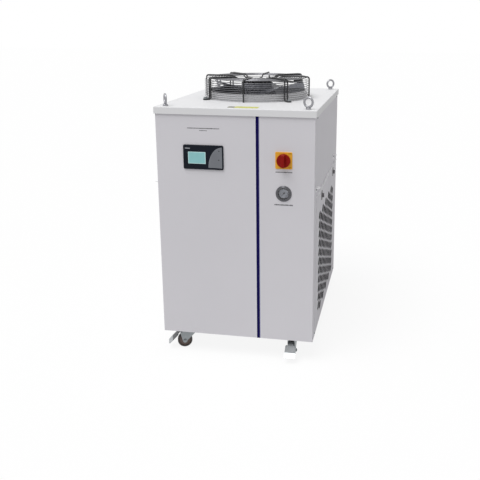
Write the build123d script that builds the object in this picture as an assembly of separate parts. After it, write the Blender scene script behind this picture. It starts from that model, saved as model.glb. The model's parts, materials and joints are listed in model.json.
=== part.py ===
from build123d import *
import os
from math import asin, cos, degrees, radians, sin, sqrt

# Air-cooled recirculating water chiller on casters, in millimetres.
# X runs to the right of a person facing the front, Y runs from front to back, Z is up.
# The origin lies on the floor under the middle of the whole machine.

# Cabinet
LID_W = 650.0
LID_D = 880.0
LID_RIM = 27.0
LID_BEND = 2.5
LID_OVERHANG = 4.5
BODY_H = 960.0
FLOOR_GAP = 95.0
SHEET = 1.5
PANEL_BEND = 3.0
PANEL_RETURN = 18.0
PANEL_SEAM = 1.0
PANEL_TOP_GAP = 4.0

# Frame and base
POST = 40.0
TUBE_WALL = 2.0
TUBE_CORNER = 3.0
TOP_RAIL_H = 40.0
TOP_RAIL_W = 30.0
MID_RAIL = 30.0
MID_RAIL_HEIGHT = 620.0
SIDE_RAIL_H = 20.0
CENTRE_POST_W = 30.0
CENTRE_POST_D = 20.0
BASE_PLATE = 3.0
BASE_LIFT = 1.0
BASE_FLANGE = 20.0
BASE_CORNER = 3.0

# Stripe between the two front panels
STRIPE_X = 92.5
STRIPE_W = 18.0
STRIPE_FLANGE = 6.0

# Lower side panels, inset from the lid's front and rear edges
SIDE_INSET = 65.0
SIDE_TOP_DROP = 348.0
SIDE_BOTTOM_GAP = 23.0
SIDE_LAP = 10.0
LIP_OUT = 6.5

# Openings of the intake mesh
HEX_COLUMN_PITCH = 57.0
HEX_ROW_PITCH = 41.0
HEX_WIDTH = 71.0
HEX_FLAT = 36.0
HEX_HEIGHT = 34.5
HEX_BELOW_LIP = 98.0
HEX_SIDE_MARGIN = 80.0
HEX_LOW_MARGIN = 15.0

# Tabs that hang the intake panel on the lower edge of its opening
TAB_W = 40.0
TAB_INSET = 120.0
TAB_DOWN = 7.0
TAB_PLAY = 0.3

# Dust screen behind the mesh
SCREEN_T = 3.0
SCREEN_MESH_T = 1.0
SCREEN_BORDER = 22.0
SCREEN_END_GAP = 1.0
SCREEN_LIFT = 4.0
SCREEN_BELOW_LIP = 67.0

# Latches of the intake panel
LATCH_FRONT_INSET = 172.0
LATCH_REAR_INSET = 115.0
LATCH_BELOW_LIP = 41.0
BEZEL_W = 30.0
BEZEL_H = 42.0
BEZEL_T = 2.0
BEZEL_CORNER = 12.0
LATCH_R = 10.0
LATCH_DISC = 2.0
WING_W = 5.0
WING_L = 18.0
WING_OUT = 6.0
LATCH_SHAFT_R = 4.0
CAM_W = 12.0
CAM_T = 2.5
CAM_BITE = 8.0
CAM_GAP = 0.5

# Hooks on both sides, above the lower panels
HOOK_W = 34.0
HOOK_OUT = 16.5
HOOK_T = 2.0
HOOK_LEG = 15.0
HOOK_FRONT_INSET = 40.0
HOOK_REAR_INSET = 165.0
HOOK_ABOVE_LIP = 41.0

# Fan
COLLAR_R = 218.0
COLLAR_H = 32.0
COLLAR_T = 1.5
COLLAR_FLANGE = 8.0
COLLAR_LIP = 3.0
RING_R = 231.0
RING_WIRE = 2.7
SIDE_RINGS = 9
SIDE_RING_LOW = 7.0
SIDE_RING_PITCH = 9.0
TOP_RINGS = 6
TOP_RING_OUT = 222.0
TOP_RING_PITCH = 18.0
TOP_RING_Z = 88.0
ARM_COUNT = 8
ARM_FIRST_ANGLE = -92.0
ARM_WIRE_R = 3.0
ARM_GAP = 0.15
ARM_PAIR = 14.0
ARM_FOOT = 30.0
ARM_FOOT_BEND = 8.0
ARM_TOP_BEND = 10.0
ARM_DIP_BEND = 14.0
ARM_DIP_R = 116.0
ARM_LAND_R = 90.0
ARM_TIP_R = 52.0
MOTOR_FLANGE_R = 78.0
MOTOR_FLANGE_T = 4.0
MOTOR_FLANGE_Z = 76.0
MOTOR_CAP_R = 44.0
MOTOR_CAP_H = 5.0
BEARING_R = 20.0
BEARING_DROP = 42.0
SHAFT_R = 6.0
ROTOR_R = 70.0
ROTOR_LOW = 8.0
ROTOR_HIGH = 68.0
ROTOR_CORNER = 8.0
BLADES = 5
BLADE_T = 2.5
BLADE_HALF_ANGLE = 20.0
BLADE_SWEEP = 14.0
BLADE_PITCH = 22.0
BLADE_MID_Z = 29.0
BLADE_TIP_GAP = 4.5
CABLE_BOX_ANGLE = -17.0
CABLE_BOX_R = 203.0
CABLE_BOX_L = 34.0
CABLE_BOX_W = 26.0
CABLE_BOX_H = 15.0
LEAD_R = 3.0
FAN_BOLT_R = 4.0
FAN_BOLT_HEAD = 13.0
FAN_BOLT_HEAD_H = 5.3
FAN_WASHER_R = 10.0
FAN_WASHER_T = 1.6
FAN_BOLT_L = 14.0

# Controller on the left front panel, centre measured down from the lid's top
CONTROLLER_X = -125.5
CONTROLLER_DROP = 195.7
CONTROLLER_W = 164.0
CONTROLLER_H = 98.0
CONTROLLER_T = 5.0
CONTROLLER_CORNER = 6.0
CONTROLLER_BODY_W = 150.0
CONTROLLER_BODY_H = 84.0
CONTROLLER_BODY_D = 38.0
CUTOUT_GAP = 1.0
DISPLAY_X = -151.6
DISPLAY_DROP = 198.0
DISPLAY_W = 72.0
DISPLAY_H = 48.0
DISPLAY_DEEP = 1.2
DISPLAY_GAP = 0.2

# Main switch
SWITCH_X = 197.5
SWITCH_DROP = 196.7
SWITCH_PLATE = 67.0
SWITCH_PLATE_T = 3.0
SWITCH_CORNER = 4.0
SWITCH_BODY = 48.0
SWITCH_BODY_D = 45.0
KNOB_R = 27.0
KNOB_BASE = 11.0
KNOB_CORNER = 2.0
KNOB_GRIP_W = 13.0
KNOB_GRIP_L = 50.0
KNOB_GRIP_H = 21.0
KNOB_TIP = 7.0
KNOB_SHAFT_R = 5.0
KNOB_SHAFT_L = 10.0
TURN_GAP = 0.3

# Pressure gauge
GAUGE_X = 197.5
GAUGE_DROP = 330.0
GAUGE_FLANGE_R = 32.0
GAUGE_FLANGE_T = 5.0
GAUGE_BEVEL = 3.5
GAUGE_CASE_R = 27.0
GAUGE_CASE_D = 30.0
GAUGE_STEM_R = 7.0
GAUGE_STEM_L = 20.0
DIAL_R = 20.0
DIAL_DEPTH = 8.0
DIAL_T = 1.0
LENS_R = 21.5
LENS_T = 2.0
LENS_SET_BACK = 1.0
NEEDLE_L = 15.0
NEEDLE_TAIL = 6.0
NEEDLE_W = 2.0
NEEDLE_T = 0.8
NEEDLE_HUB_R = 2.6
NEEDLE_PIN_R = 1.2
NEEDLE_PIN_L = 4.5
NEEDLE_LIFT = 1.8
NEEDLE_ZERO = 225.0

# Casters
CASTER_SIDE_INSET = 92.5
CASTER_INSET = 68.0
CASTER_PLATE = 72.0
CASTER_PLATE_T = 3.0
RACE_R = 26.0
RACE_H = 7.7
KING_PIN_R = 6.0
KING_HEAD_R = 10.0
KING_HEAD_T = 4.0
FORK_T = 3.0
LEG_T = 2.5
TRAIL = 22.0
WHEEL_R = 31.5
TREAD_W = 23.0
TREAD_CORNER = 4.0
HUB_W = 26.0
HUB_R = 9.0
WEB_R = 24.5
WEB_DEEP = 3.5
AXLE_R = 4.0
AXLE_FIT = 0.1
AXLE_HEAD = 13.0
AXLE_HEAD_T = 4.5
SWIVEL_LEFT = 200.0
SWIVEL_RIGHT = 270.0
PEDAL_PIVOT = (36.0, 74.0)
PEDAL_SLOPE = -45.0
PEDAL_L = 73.0
PEDAL_T = 3.0
PEDAL_NARROW_L = 17.0
PEDAL_LUG_W = 22.0
PEDAL_W = 46.0
PEDAL_CORNER = 6.0
PEDAL_LUG_R = 6.0
PEDAL_PIN_R = 3.0

# Lifting eyes
EYE_INSET = 38.0
EYE_RING_R = 18.0
EYE_WIRE_R = 4.5
EYE_COLLAR_R = 10.0
EYE_COLLAR_H = 7.0
EYE_NECK_R = 6.5
EYE_SHANK_R = 5.0
EYE_SHANK_L = 20.0
EYE_HOLE_GAP = 0.4
EYE_ANGLES = (-62.0, 80.0, -20.0, 35.0)

# Screws of the panels
SCREW_R = 2.5
SCREW_GAP = 0.3
SCREW_HEAD_R = 4.5
SCREW_HEAD_H = 2.8
SCREW_SOCKET_R = 1.8
SCREW_SOCKET_D = 1.6
SCREW_L = 8.0
SCREW_DROP = 33.0
SCREW_LOW = 17.0
SCREW_END_INSET = 55.0
SCREW_REAR_X = 200.0
SMALL_SCREW = 0.8

# Water tank, filler, drain and level gauge
TANK_SIDE_GAP = 44.0
TANK_RIGHT = -35.0
TANK_D = 300.0
TANK_H = 441.0
TANK_GAP = 35.0
TANK_WALL = 2.0
TANK_CORNER = 12.0
NECK_R = 20.0
NECK_WALL = 3.0
NECK_ANGLE = 45.0
CAP_R = 24.0
CAP_T = 14.0
CAP_SKIRT = 2.0
CAP_LAP = 10.0
CAP_PANEL_GAP = 1.5
CAP_RIBS = 12
CAP_EDGE = 2.0
CAP_RIB_OUT = 1.0
DRAIN_HEIGHT = 140.0
DRAIN_PIPE_R = 10.0
DRAIN_BODY_R = 14.0
DRAIN_OUT = 40.0
DRAIN_BORE_R = 7.6
DRAIN_BORE_L = 14.0
DRAIN_STEM_R = 4.0
DRAIN_STEM_H = 6.0
DRAIN_STEM_AT = 16.0
HANDLE_L = 52.0
HANDLE_W = 13.0
HANDLE_T = 2.5
LEVEL_FROM_TANK_MIDDLE = 95.0
LEVEL_LOW = 215.0
LEVEL_HIGH = 495.0
LEVEL_R = 6.0
LEVEL_BLOCK = 20.0
LEVEL_OUT = 16.0
LEVEL_STUB_R = 6.0

# Rear ports and cable gland
PORT_INLET_X = 30.0
PORT_OUTLET_X = 120.0
PORT_HEIGHT = 330.0
PORT_HEX = 38.0
PORT_HEX_T = 8.0
PORT_R = 17.0
PORT_OUT = 40.0
PORT_THREAD_R = 12.1
PORT_THREAD_L = 18.0
PORT_BORE_R = 9.0
PORT_TAIL_R = 13.0
PORT_TAIL_L = 24.0
GLAND_SIDE_INSET = 89.0
GLAND_HEIGHT = 160.0
GLAND_HEX = 30.0
GLAND_HEX_T = 7.0
GLAND_DOME_R = 13.5
GLAND_DOME_L = 18.0
GLAND_BODY_R = 12.0
GLAND_NUT_T = 5.0
GLAND_BORE_R = 6.5

# Refrigeration and water circuit inside
COIL_SIDE_GAP = 5.0
COIL_T = 66.0
COIL_END_INSET = 90.0
COIL_LIFT = 41.0
COIL_BELOW_LIP = 85.0
COIL_SKIN = 4.0
COIL_END_T = 2.0
COIL_PASSES = 6
COIL_TUBE_R = 4.8
COMPRESSOR_SIDE_INSET = 189.0
COMPRESSOR_FROM_TANK = 240.5
COMPRESSOR_R = 85.0
COMPRESSOR_LOW = 124.0
COMPRESSOR_HIGH = 335.0
COMPRESSOR_DOME = 34.0
COMPRESSOR_PLATE = 190.0
COMPRESSOR_PLATE_T = 5.0
COMPRESSOR_FOOT_R = 15.0
COMPRESSOR_BOSS = 8.0
PUMP_FROM_BACK = 82.0
PUMP_HEAD_X = 60.0
PUMP_HEAD_L = 72.0
PUMP_HEAD_R = 55.0
PUMP_MOTOR_L = 104.0
PUMP_MOTOR_R = 60.0
PUMP_FOOT_T = 6.0
PUMP_FOOT_GAP = 3.0
PUMP_BOSS_R = 17.0
PIPE_R = 5.0
PIPE_BEND = 25.0
HOSE_R = 13.0
HOSE_BEND = 40.0
DISCHARGE_HEIGHT = 290.0
DISCHARGE_BELOW_COIL_TOP = 32.0
DISCHARGE_RISE_X = 60.0
LIQUID_FROM_TANK = 40.5
LIQUID_HEIGHT = 160.0
SUCTION_HEIGHT = 440.0
ELECTRIC_SIDE_GAP = 64.0
ELECTRIC_W = 315.0
ELECTRIC_LOW = 380.0
ELECTRIC_D = 120.0
ELECTRIC_WALL = 1.2
ELECTRIC_LID = 4.0

# Levels and faces that follow from the sizes above
TOP = FLOOR_GAP + BODY_H
BODY_W = LID_W - 2 * LID_OVERHANG
BODY_D = LID_D - 2 * LID_OVERHANG
SIDE = BODY_W / 2
INNER_SIDE = SIDE - SHEET
PANEL_TOP = TOP - SHEET - PANEL_TOP_GAP
UNDER_LID = TOP - SHEET
BASE_LOW = FLOOR_GAP + BASE_LIFT
BASE_TOP = BASE_LOW + BASE_PLATE
KNOB_REACH = SWITCH_PLATE_T + TURN_GAP + KNOB_BASE + KNOB_GRIP_H
SLOPE = sin(radians(NECK_ANGLE))
NECK_OUT = (CAP_R + CAP_LAP) * SLOPE + CAP_PANEL_GAP
REAR_REACH = NECK_OUT + (CAP_T + CAP_R - CAP_RIB_OUT - 2 * CAP_EDGE) * SLOPE + CAP_EDGE
FRONT = -(BODY_D + REAR_REACH - KNOB_REACH) / 2
BACK = FRONT + BODY_D
LID_FRONT = FRONT - LID_OVERHANG
LID_BACK = BACK + LID_OVERHANG
FAN_Y = (LID_FRONT + LID_BACK) / 2
PANEL_LOW = FLOOR_GAP
SIDE_PANEL_FROM = FRONT + PANEL_RETURN + PANEL_SEAM
SIDE_PANEL_TO = BACK - PANEL_RETURN - PANEL_SEAM
LOWER_FROM = LID_FRONT + SIDE_INSET
LOWER_TO = LID_BACK - SIDE_INSET
LOWER_TOP = TOP - SIDE_TOP_DROP
LOWER_BOTTOM = FLOOR_GAP + SIDE_BOTTOM_GAP
HEX_WIDE = LOWER_TO - LOWER_FROM - 2 * HEX_SIDE_MARGIN - HEX_WIDTH
HEX_TALL = LOWER_TOP - HEX_BELOW_LIP - LOWER_BOTTOM - HEX_LOW_MARGIN - HEX_ROW_PITCH / 2
HEX_COLUMNS = int(HEX_WIDE / HEX_COLUMN_PITCH) + 1
HEX_ROWS = int(HEX_TALL / HEX_ROW_PITCH)
GATE_FROM = LOWER_FROM + SIDE_LAP
GATE_TO = LOWER_TO - SIDE_LAP
GATE_TOP = LOWER_TOP - SIDE_LAP - 2 * SHEET
GATE_BOTTOM = LOWER_BOTTOM + SIDE_LAP
LATCH_Z = LOWER_TOP - LATCH_BELOW_LIP
LATCH_YS = (LOWER_FROM + LATCH_FRONT_INSET, LOWER_TO - LATCH_REAR_INSET)
HOOK_YS = (LID_FRONT + HOOK_FRONT_INSET, LID_BACK - HOOK_REAR_INSET)
HOOK_Z = LOWER_TOP + HOOK_ABOVE_LIP
RACE_LOW = BASE_LOW - CASTER_PLATE_T - RACE_H
FORK_TOP = RACE_LOW - TURN_GAP
FORK_UNDER = FORK_TOP - FORK_T
LEG_IN = HUB_W / 2 + TURN_GAP
LEG_OUT = LEG_IN + LEG_T
CASTER_X = SIDE - CASTER_SIDE_INSET
EYE_X = LID_W / 2 - EYE_INSET
FRONT_CASTER_Y = LID_FRONT + CASTER_INSET
REAR_CASTER_Y = LID_BACK - CASTER_INSET
TANK_BACK = BACK - TANK_GAP
TANK_FRONT = TANK_BACK - TANK_D
TANK_LEFT = -INNER_SIDE + TANK_SIDE_GAP
TANK_X = (TANK_LEFT + TANK_RIGHT) / 2
DRAIN_X = TANK_X
LEVEL_X = TANK_X - LEVEL_FROM_TANK_MIDDLE
GLAND_X = INNER_SIDE - GLAND_SIDE_INSET
COIL_X1 = INNER_SIDE - COIL_SIDE_GAP
COIL_X0 = COIL_X1 - COIL_T
COIL_LOW = BASE_TOP + COIL_LIFT
COIL_HIGH = LOWER_TOP - COIL_BELOW_LIP
COMPRESSOR_X = -INNER_SIDE + COMPRESSOR_SIDE_INSET
COMPRESSOR_Y = TANK_FRONT - COMPRESSOR_FROM_TANK
ELECTRIC_X0 = -INNER_SIDE + ELECTRIC_SIDE_GAP
ELECTRIC_X1 = ELECTRIC_X0 + ELECTRIC_W
TANK_TOP = BASE_TOP + TANK_H
PUMP_Y = BACK - PUMP_FROM_BACK
PUMP_Z = BASE_TOP + PUMP_FOOT_T + PUMP_FOOT_GAP + PUMP_MOTOR_R
RAIL_UNDER = UNDER_LID - TOP_RAIL_H
ARM_R = RING_R + RING_WIRE / 2 + ARM_GAP + ARM_WIRE_R
ARM_OVER = TOP_RING_Z + RING_WIRE / 2 + ARM_GAP + ARM_WIRE_R
TINY = 0.01

PARTS = {}


def block(x0, x1, y0, y1, z0, z1):
    return Pos((x0 + x1) / 2, (y0 + y1) / 2, (z0 + z1) / 2) * Box(x1 - x0, y1 - y0, z1 - z0)


def disc(radius, z0, z1, x=0.0, y=0.0):
    return Pos(x, y, (z0 + z1) / 2) * Cylinder(radius, z1 - z0)


def rod_y(radius, y0, y1, x=0.0, z=0.0):
    return Pos(x, (y0 + y1) / 2, z) * Rot(90, 0, 0) * Cylinder(radius, y1 - y0)


def rod_x(radius, x0, x1, y=0.0, z=0.0):
    return Pos((x0 + x1) / 2, y, z) * Rot(0, 90, 0) * Cylinder(radius, x1 - x0)


def hex_y(across, y0, y1, x=0.0, z=0.0):
    nut = extrude(RegularPolygon(across / 2, 6, major_radius=False), y1 - y0)
    return Pos(x, y1, z) * Rot(90, 0, 0) * nut


def upright_edges(part, x=None, y=None):
    picked = []
    for edge in part.edges().filter_by(Axis.Z):
        middle = edge.center()
        if x is not None and abs(middle.X - x) > TINY:
            continue
        if y is not None and abs(middle.Y - y) > TINY:
            continue
        picked.append(edge)
    return picked


def group(solids):
    return Compound(children=list(solids))


def add(name, shape):
    PARTS[name] = shape


def tube_along(points, radii, radius):
    path = FilletPolyline(*points, radius=radii) if radii else Line(*points)
    start = path ^ 0
    return sweep(start * Circle(radius), path=path)


def tube_bar(x0, x1, y0, y1, z0, z1, along):
    outer = block(x0, x1, y0, y1, z0, z1)
    cut = [(x0, x1), (y0, y1), (z0, z1)]
    for axis in range(3):
        if axis != "XYZ".index(along):
            low, high = cut[axis]
            cut[axis] = (low + TUBE_WALL, high - TUBE_WALL)
    return outer - block(*cut[0], *cut[1], *cut[2])


# Screw places: each is a point on the outer face and the outward direction

def side_screws(side):
    places = []
    for z in (TOP - SCREW_DROP, FLOOR_GAP + SCREW_LOW):
        for y in (LID_FRONT + SCREW_END_INSET, LID_BACK - SCREW_END_INSET):
            places.append((side * SIDE, y, z))
    return places


def rear_screws():
    places = []
    for z in (TOP - SCREW_DROP, FLOOR_GAP + SCREW_LOW):
        for x in (-SCREW_REAR_X, SCREW_REAR_X):
            places.append((x, BACK, z))
    for x in (-1, 1):
        places.append((x * (INNER_SIDE - POST / 2), BACK, (PANEL_LOW + PANEL_TOP) / 2))
    return places


def hook_screws(side):
    z = HOOK_Z - HOOK_LEG / 2 - HOOK_T / 2
    return [(side * (SIDE + HOOK_T), y, z) for y in HOOK_YS]


def service_screws():
    inset = SIDE_LAP / 2
    places = []
    for y in (LOWER_FROM + inset, (LOWER_FROM + LOWER_TO) / 2, LOWER_TO - inset):
        for z in (LOWER_BOTTOM + inset, LOWER_TOP - inset - 2 * SHEET):
            places.append((-SIDE - SHEET, y, z))
    return places


def toward(place, side):
    turn = Rot(0, 90, 0) if side == "+x" else Rot(0, -90, 0) if side == "-x" else Rot(-90, 0, 0)
    return Pos(*place) * turn


def screw(scale=1.0):
    head = Cylinder(SCREW_HEAD_R * scale, SCREW_HEAD_H * scale)
    head = Pos(0, 0, SCREW_HEAD_H * scale / 2) * head
    head = fillet(head.edges().sort_by(Axis.Z)[-1], SCREW_HEAD_H * scale * 0.6)
    socket = extrude(RegularPolygon(SCREW_SOCKET_R * scale, 6), SCREW_SOCKET_D)
    head -= Pos(0, 0, SCREW_HEAD_H * scale - SCREW_SOCKET_D) * socket
    return head + disc(SCREW_R * scale, -SCREW_L, TINY)


def drill(part, places, side, scale=1.0):
    hole = Cylinder((SCREW_R + SCREW_GAP) * scale, 2 * SCREW_L + 2 * SCREW_HEAD_H)
    for place in places:
        part -= toward(place, side) * hole
    return part


def make_base_pan():
    pan = block(-INNER_SIDE, INNER_SIDE, FRONT + SHEET, BACK - SHEET, BASE_LOW, BASE_TOP)
    pan = fillet(pan.edges().filter_by(Axis.Z), BASE_CORNER)
    top = BASE_TOP + BASE_FLANGE
    x = INNER_SIDE - POST
    y0, y1 = FRONT + SHEET, BACK - SHEET
    for side in (-1, 1):
        edges = sorted((side * INNER_SIDE, side * (INNER_SIDE - SHEET)))
        pan += block(*edges, y0 + POST, y1 - POST, BASE_LOW, top)
        pan = drill(pan, side_screws(side), "+x")
    pan += block(-x, x, y0, y0 + SHEET, BASE_LOW, top)
    pan += block(-x, x, y1 - SHEET, y1, BASE_LOW, top)
    pan = drill(pan, rear_screws(), "+y")
    add("base_pan", pan)


def make_frame():
    y0, y1 = FRONT + SHEET, BACK - SHEET
    bars = []
    for x in (-INNER_SIDE, INNER_SIDE - POST):
        for y in (y0, y1 - POST):
            post = tube_bar(x, x + POST, y, y + POST, BASE_TOP, UNDER_LID, "Z")
            corners = [e for px in (x, x + POST) for e in upright_edges(post, px)]
            bars.append(fillet(corners, TUBE_CORNER))
    inner = INNER_SIDE - POST
    for y in (y0, y1 - TOP_RAIL_W):
        bars.append(tube_bar(-inner, inner, y, y + TOP_RAIL_W, RAIL_UNDER, UNDER_LID, "X"))
    rail_z = LOWER_TOP + SHEET
    for side in (-1, 1):
        edges = sorted((side * INNER_SIDE, side * (INNER_SIDE - TOP_RAIL_W)))
        bars.append(tube_bar(*edges, y0 + POST, y1 - POST, RAIL_UNDER, UNDER_LID, "Y"))
        hook_low = HOOK_Z - HOOK_LEG - HOOK_T
        bars.append(tube_bar(*edges, y0 + POST, y1 - POST, hook_low, hook_low + SIDE_RAIL_H, "Y"))
    post_x = STRIPE_X - CENTRE_POST_W / 2
    post_y = FRONT + 2 * SHEET
    bars.append(tube_bar(post_x, post_x + CENTRE_POST_W, post_y, post_y + CENTRE_POST_D,
                         BASE_TOP, RAIL_UNDER, "Z"))
    bars.append(tube_bar(-inner, post_x, y0, y0 + MID_RAIL,
                         MID_RAIL_HEIGHT, MID_RAIL_HEIGHT + MID_RAIL, "X"))
    frame = bars[0].fuse(*bars[1:])
    for side in (-1, 1):
        frame = drill(frame, side_screws(side) + hook_screws(side), "+x")
    frame = drill(frame, rear_screws(), "+y")
    add("frame", frame)


def folded_panel(x0, x1, face, inward, corners):
    """Sheet with its face at y = face, folded back along the corners named."""
    y_in = face + inward * PANEL_RETURN
    low, high = sorted((face, y_in))
    shell = block(x0, x1, low, high, PANEL_LOW, PANEL_TOP)
    shell = fillet([e for x in corners for e in upright_edges(shell, x, face)], PANEL_BEND)
    cut_x0 = x0 + SHEET if x0 in corners else x0 - 1
    cut_x1 = x1 - SHEET if x1 in corners else x1 + 1
    cut_low, cut_high = sorted((face + inward * SHEET, y_in + inward))
    core = block(cut_x0, cut_x1, cut_low, cut_high, PANEL_LOW - 1, PANEL_TOP + 1)
    edges = []
    for x in corners:
        edges += upright_edges(core, cut_x0 if x == x0 else cut_x1, face + inward * SHEET)
    return shell - fillet(edges, PANEL_BEND - SHEET)


def make_front_panels():
    left = folded_panel(-SIDE, STRIPE_X - STRIPE_W / 2, FRONT, 1, [-SIDE])
    w, h = CONTROLLER_BODY_W / 2 + CUTOUT_GAP, CONTROLLER_BODY_H / 2 + CUTOUT_GAP
    z = TOP - CONTROLLER_DROP
    left -= block(CONTROLLER_X - w, CONTROLLER_X + w, FRONT - 1, FRONT + SHEET + 1, z - h, z + h)
    add("front_panel_left", left)
    right = folded_panel(STRIPE_X + STRIPE_W / 2, SIDE, FRONT, 1, [SIDE])
    h = SWITCH_BODY / 2 + CUTOUT_GAP
    z = TOP - SWITCH_DROP
    right -= block(SWITCH_X - h, SWITCH_X + h, FRONT - 1, FRONT + SHEET + 1, z - h, z + h)
    hole = GAUGE_CASE_R + CUTOUT_GAP
    right -= rod_y(hole, FRONT - 1, FRONT + SHEET + 1, GAUGE_X, TOP - GAUGE_DROP)
    add("front_panel_right", right)


def make_stripe():
    half = STRIPE_W / 2
    back = FRONT + SHEET
    strip = block(STRIPE_X - half, STRIPE_X + half, FRONT, back, PANEL_LOW, PANEL_TOP)
    wide = half + STRIPE_FLANGE
    low = BASE_TOP + BASE_FLANGE + PANEL_SEAM
    strip += block(STRIPE_X - wide, STRIPE_X + wide, back, back + SHEET, low, RAIL_UNDER)
    add("stripe_trim", strip)


def gate(side):
    edges = sorted((side * (INNER_SIDE - 1), side * (SIDE + 1)))
    return block(*edges, GATE_FROM, GATE_TO, GATE_BOTTOM, GATE_TOP)


def make_side_panels():
    for side, name in ((1, "side_panel_right"), (-1, "side_panel_left")):
        edges = sorted((side * INNER_SIDE, side * SIDE))
        panel = block(*edges, SIDE_PANEL_FROM, SIDE_PANEL_TO, PANEL_LOW, PANEL_TOP)
        panel -= gate(side)
        panel = drill(panel, side_screws(side) + hook_screws(side), "+x")
        if side < 0:
            panel = drill(panel, service_screws(), "-x", SMALL_SCREW)
        add(name, panel)


def lower_sheet(side):
    outer = SIDE + SHEET
    edges = sorted((side * SIDE, side * outer))
    sheet = block(*edges, LOWER_FROM, LOWER_TO, LOWER_BOTTOM, LOWER_TOP)
    edges = sorted((side * SIDE, side * (outer + LIP_OUT)))
    lip = block(*edges, LOWER_FROM, LOWER_TO, LOWER_TOP - SHEET, LOWER_TOP)
    sheet += lip
    inner_bend = [e for e in sheet.edges().filter_by(Axis.Y)
                  if abs(e.center().X - side * outer) < TINY
                  and abs(e.center().Z - LOWER_TOP + SHEET) < TINY]
    return fillet(inner_bend, SHEET * 0.8)


def hexagon():
    w, f, h = HEX_WIDTH / 2, HEX_FLAT / 2, HEX_HEIGHT / 2
    return Polygon((-w, 0), (-f, -h), (f, -h), (w, 0), (f, h), (-f, h), align=None)


def mesh_holes():
    middle = (LOWER_FROM + LOWER_TO) / 2
    cell = hexagon()
    cells = []
    for column in range(HEX_COLUMNS):
        y = middle + (column - (HEX_COLUMNS - 1) / 2) * HEX_COLUMN_PITCH
        shift = HEX_ROW_PITCH / 2 if column % 2 else 0.0
        for row in range(HEX_ROWS):
            z = LOWER_TOP - HEX_BELOW_LIP - HEX_HEIGHT / 2 - shift - row * HEX_ROW_PITCH
            cells.append(Pos(y, z) * cell)
    face = Plane.YZ.offset(SIDE - 1)
    return extrude(face * Sketch(children=cells), SHEET + 2)


def hang_tab(y):
    inner = INNER_SIDE - TAB_PLAY - SHEET
    low = GATE_BOTTOM + TAB_PLAY
    tab = block(inner, SIDE + TINY, y - TAB_W / 2, y + TAB_W / 2, low, low + SHEET)
    return tab + block(inner, inner + SHEET, y - TAB_W / 2, y + TAB_W / 2,
                       low - TAB_DOWN, low + SHEET)


def make_lower_panels():
    panel = lower_sheet(1) - mesh_holes()
    for y in LATCH_YS:
        panel -= rod_x(LATCH_SHAFT_R + 2, SIDE - 1, SIDE + SHEET + 1, y, LATCH_Z)
    for y in (LOWER_FROM + TAB_INSET, LOWER_TO - TAB_INSET):
        panel += hang_tab(y)
    add("intake_panel", panel)
    add("service_panel", drill(lower_sheet(-1), service_screws(), "-x", SMALL_SCREW))


def make_dust_screen():
    y0, y1 = LOWER_FROM + SCREEN_END_GAP, LOWER_TO - SCREEN_END_GAP
    z0 = GATE_BOTTOM + SHEET + SCREEN_LIFT
    z1 = LOWER_TOP - SCREEN_BELOW_LIP
    x1 = INNER_SIDE
    x0 = x1 - SCREEN_T
    b = SCREEN_BORDER
    screen = block(x0, x1, y0, y1, z0, z1)
    screen -= block(x0 + SCREEN_MESH_T, x1 + 1, y0 + b, y1 - b, z0 + b, z1 - b)
    add("dust_screen", screen)


def make_latches():
    face = SIDE + SHEET
    bezels = []
    for y in LATCH_YS:
        outline = RectangleRounded(BEZEL_W, BEZEL_H, BEZEL_CORNER)
        bezel = Plane.YZ.offset(face) * (Pos(y, LATCH_Z) * outline)
        bezel = extrude(bezel, BEZEL_T)
        bezel -= rod_x(LATCH_SHAFT_R + TURN_GAP, face - 1, face + BEZEL_T + 1, y, LATCH_Z)
        bezels.append(bezel)
    add("latch_bezels", group(bezels))
    cam_out = INNER_SIDE - CAM_GAP
    for y, name in zip(LATCH_YS, ("latch_front", "latch_rear")):
        seat = face + BEZEL_T + TURN_GAP
        latch = rod_x(LATCH_R, seat, seat + LATCH_DISC, y, LATCH_Z)
        wing_top = seat + LATCH_DISC + WING_OUT
        latch += block(seat, wing_top, y - WING_W / 2, y + WING_W / 2,
                       LATCH_Z - WING_L / 2, LATCH_Z + WING_L / 2)
        latch += rod_x(LATCH_SHAFT_R, cam_out - CAM_T, seat + TINY, y, LATCH_Z)
        latch += block(cam_out - CAM_T, cam_out, y - CAM_W / 2, y + CAM_W / 2,
                       LATCH_Z - CAM_W / 2, GATE_TOP + CAM_BITE)
        add(name, latch)


def make_rear_panel():
    panel = folded_panel(-SIDE, SIDE, BACK, -1, [-SIDE, SIDE])
    y0, y1 = BACK - SHEET - 1, BACK + 1
    for x in (PORT_INLET_X, PORT_OUTLET_X):
        panel -= rod_y(PORT_TAIL_R + CUTOUT_GAP, y0, y1, x, PORT_HEIGHT)
    panel -= rod_y(GLAND_BODY_R + CUTOUT_GAP, y0, y1, GLAND_X, GLAND_HEIGHT)
    panel -= rod_y(DRAIN_PIPE_R + CUTOUT_GAP, y0, y1, DRAIN_X, DRAIN_HEIGHT)
    for z in (LEVEL_LOW, LEVEL_HIGH):
        panel -= rod_y(LEVEL_STUB_R + CUTOUT_GAP, y0, y1, LEVEL_X, z)
    panel -= neck_place() * disc(NECK_R + CUTOUT_GAP, -2 * NECK_R - NECK_OUT, CAP_T)
    panel = drill(panel, rear_screws(), "+y")
    add("rear_panel", panel)


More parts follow.
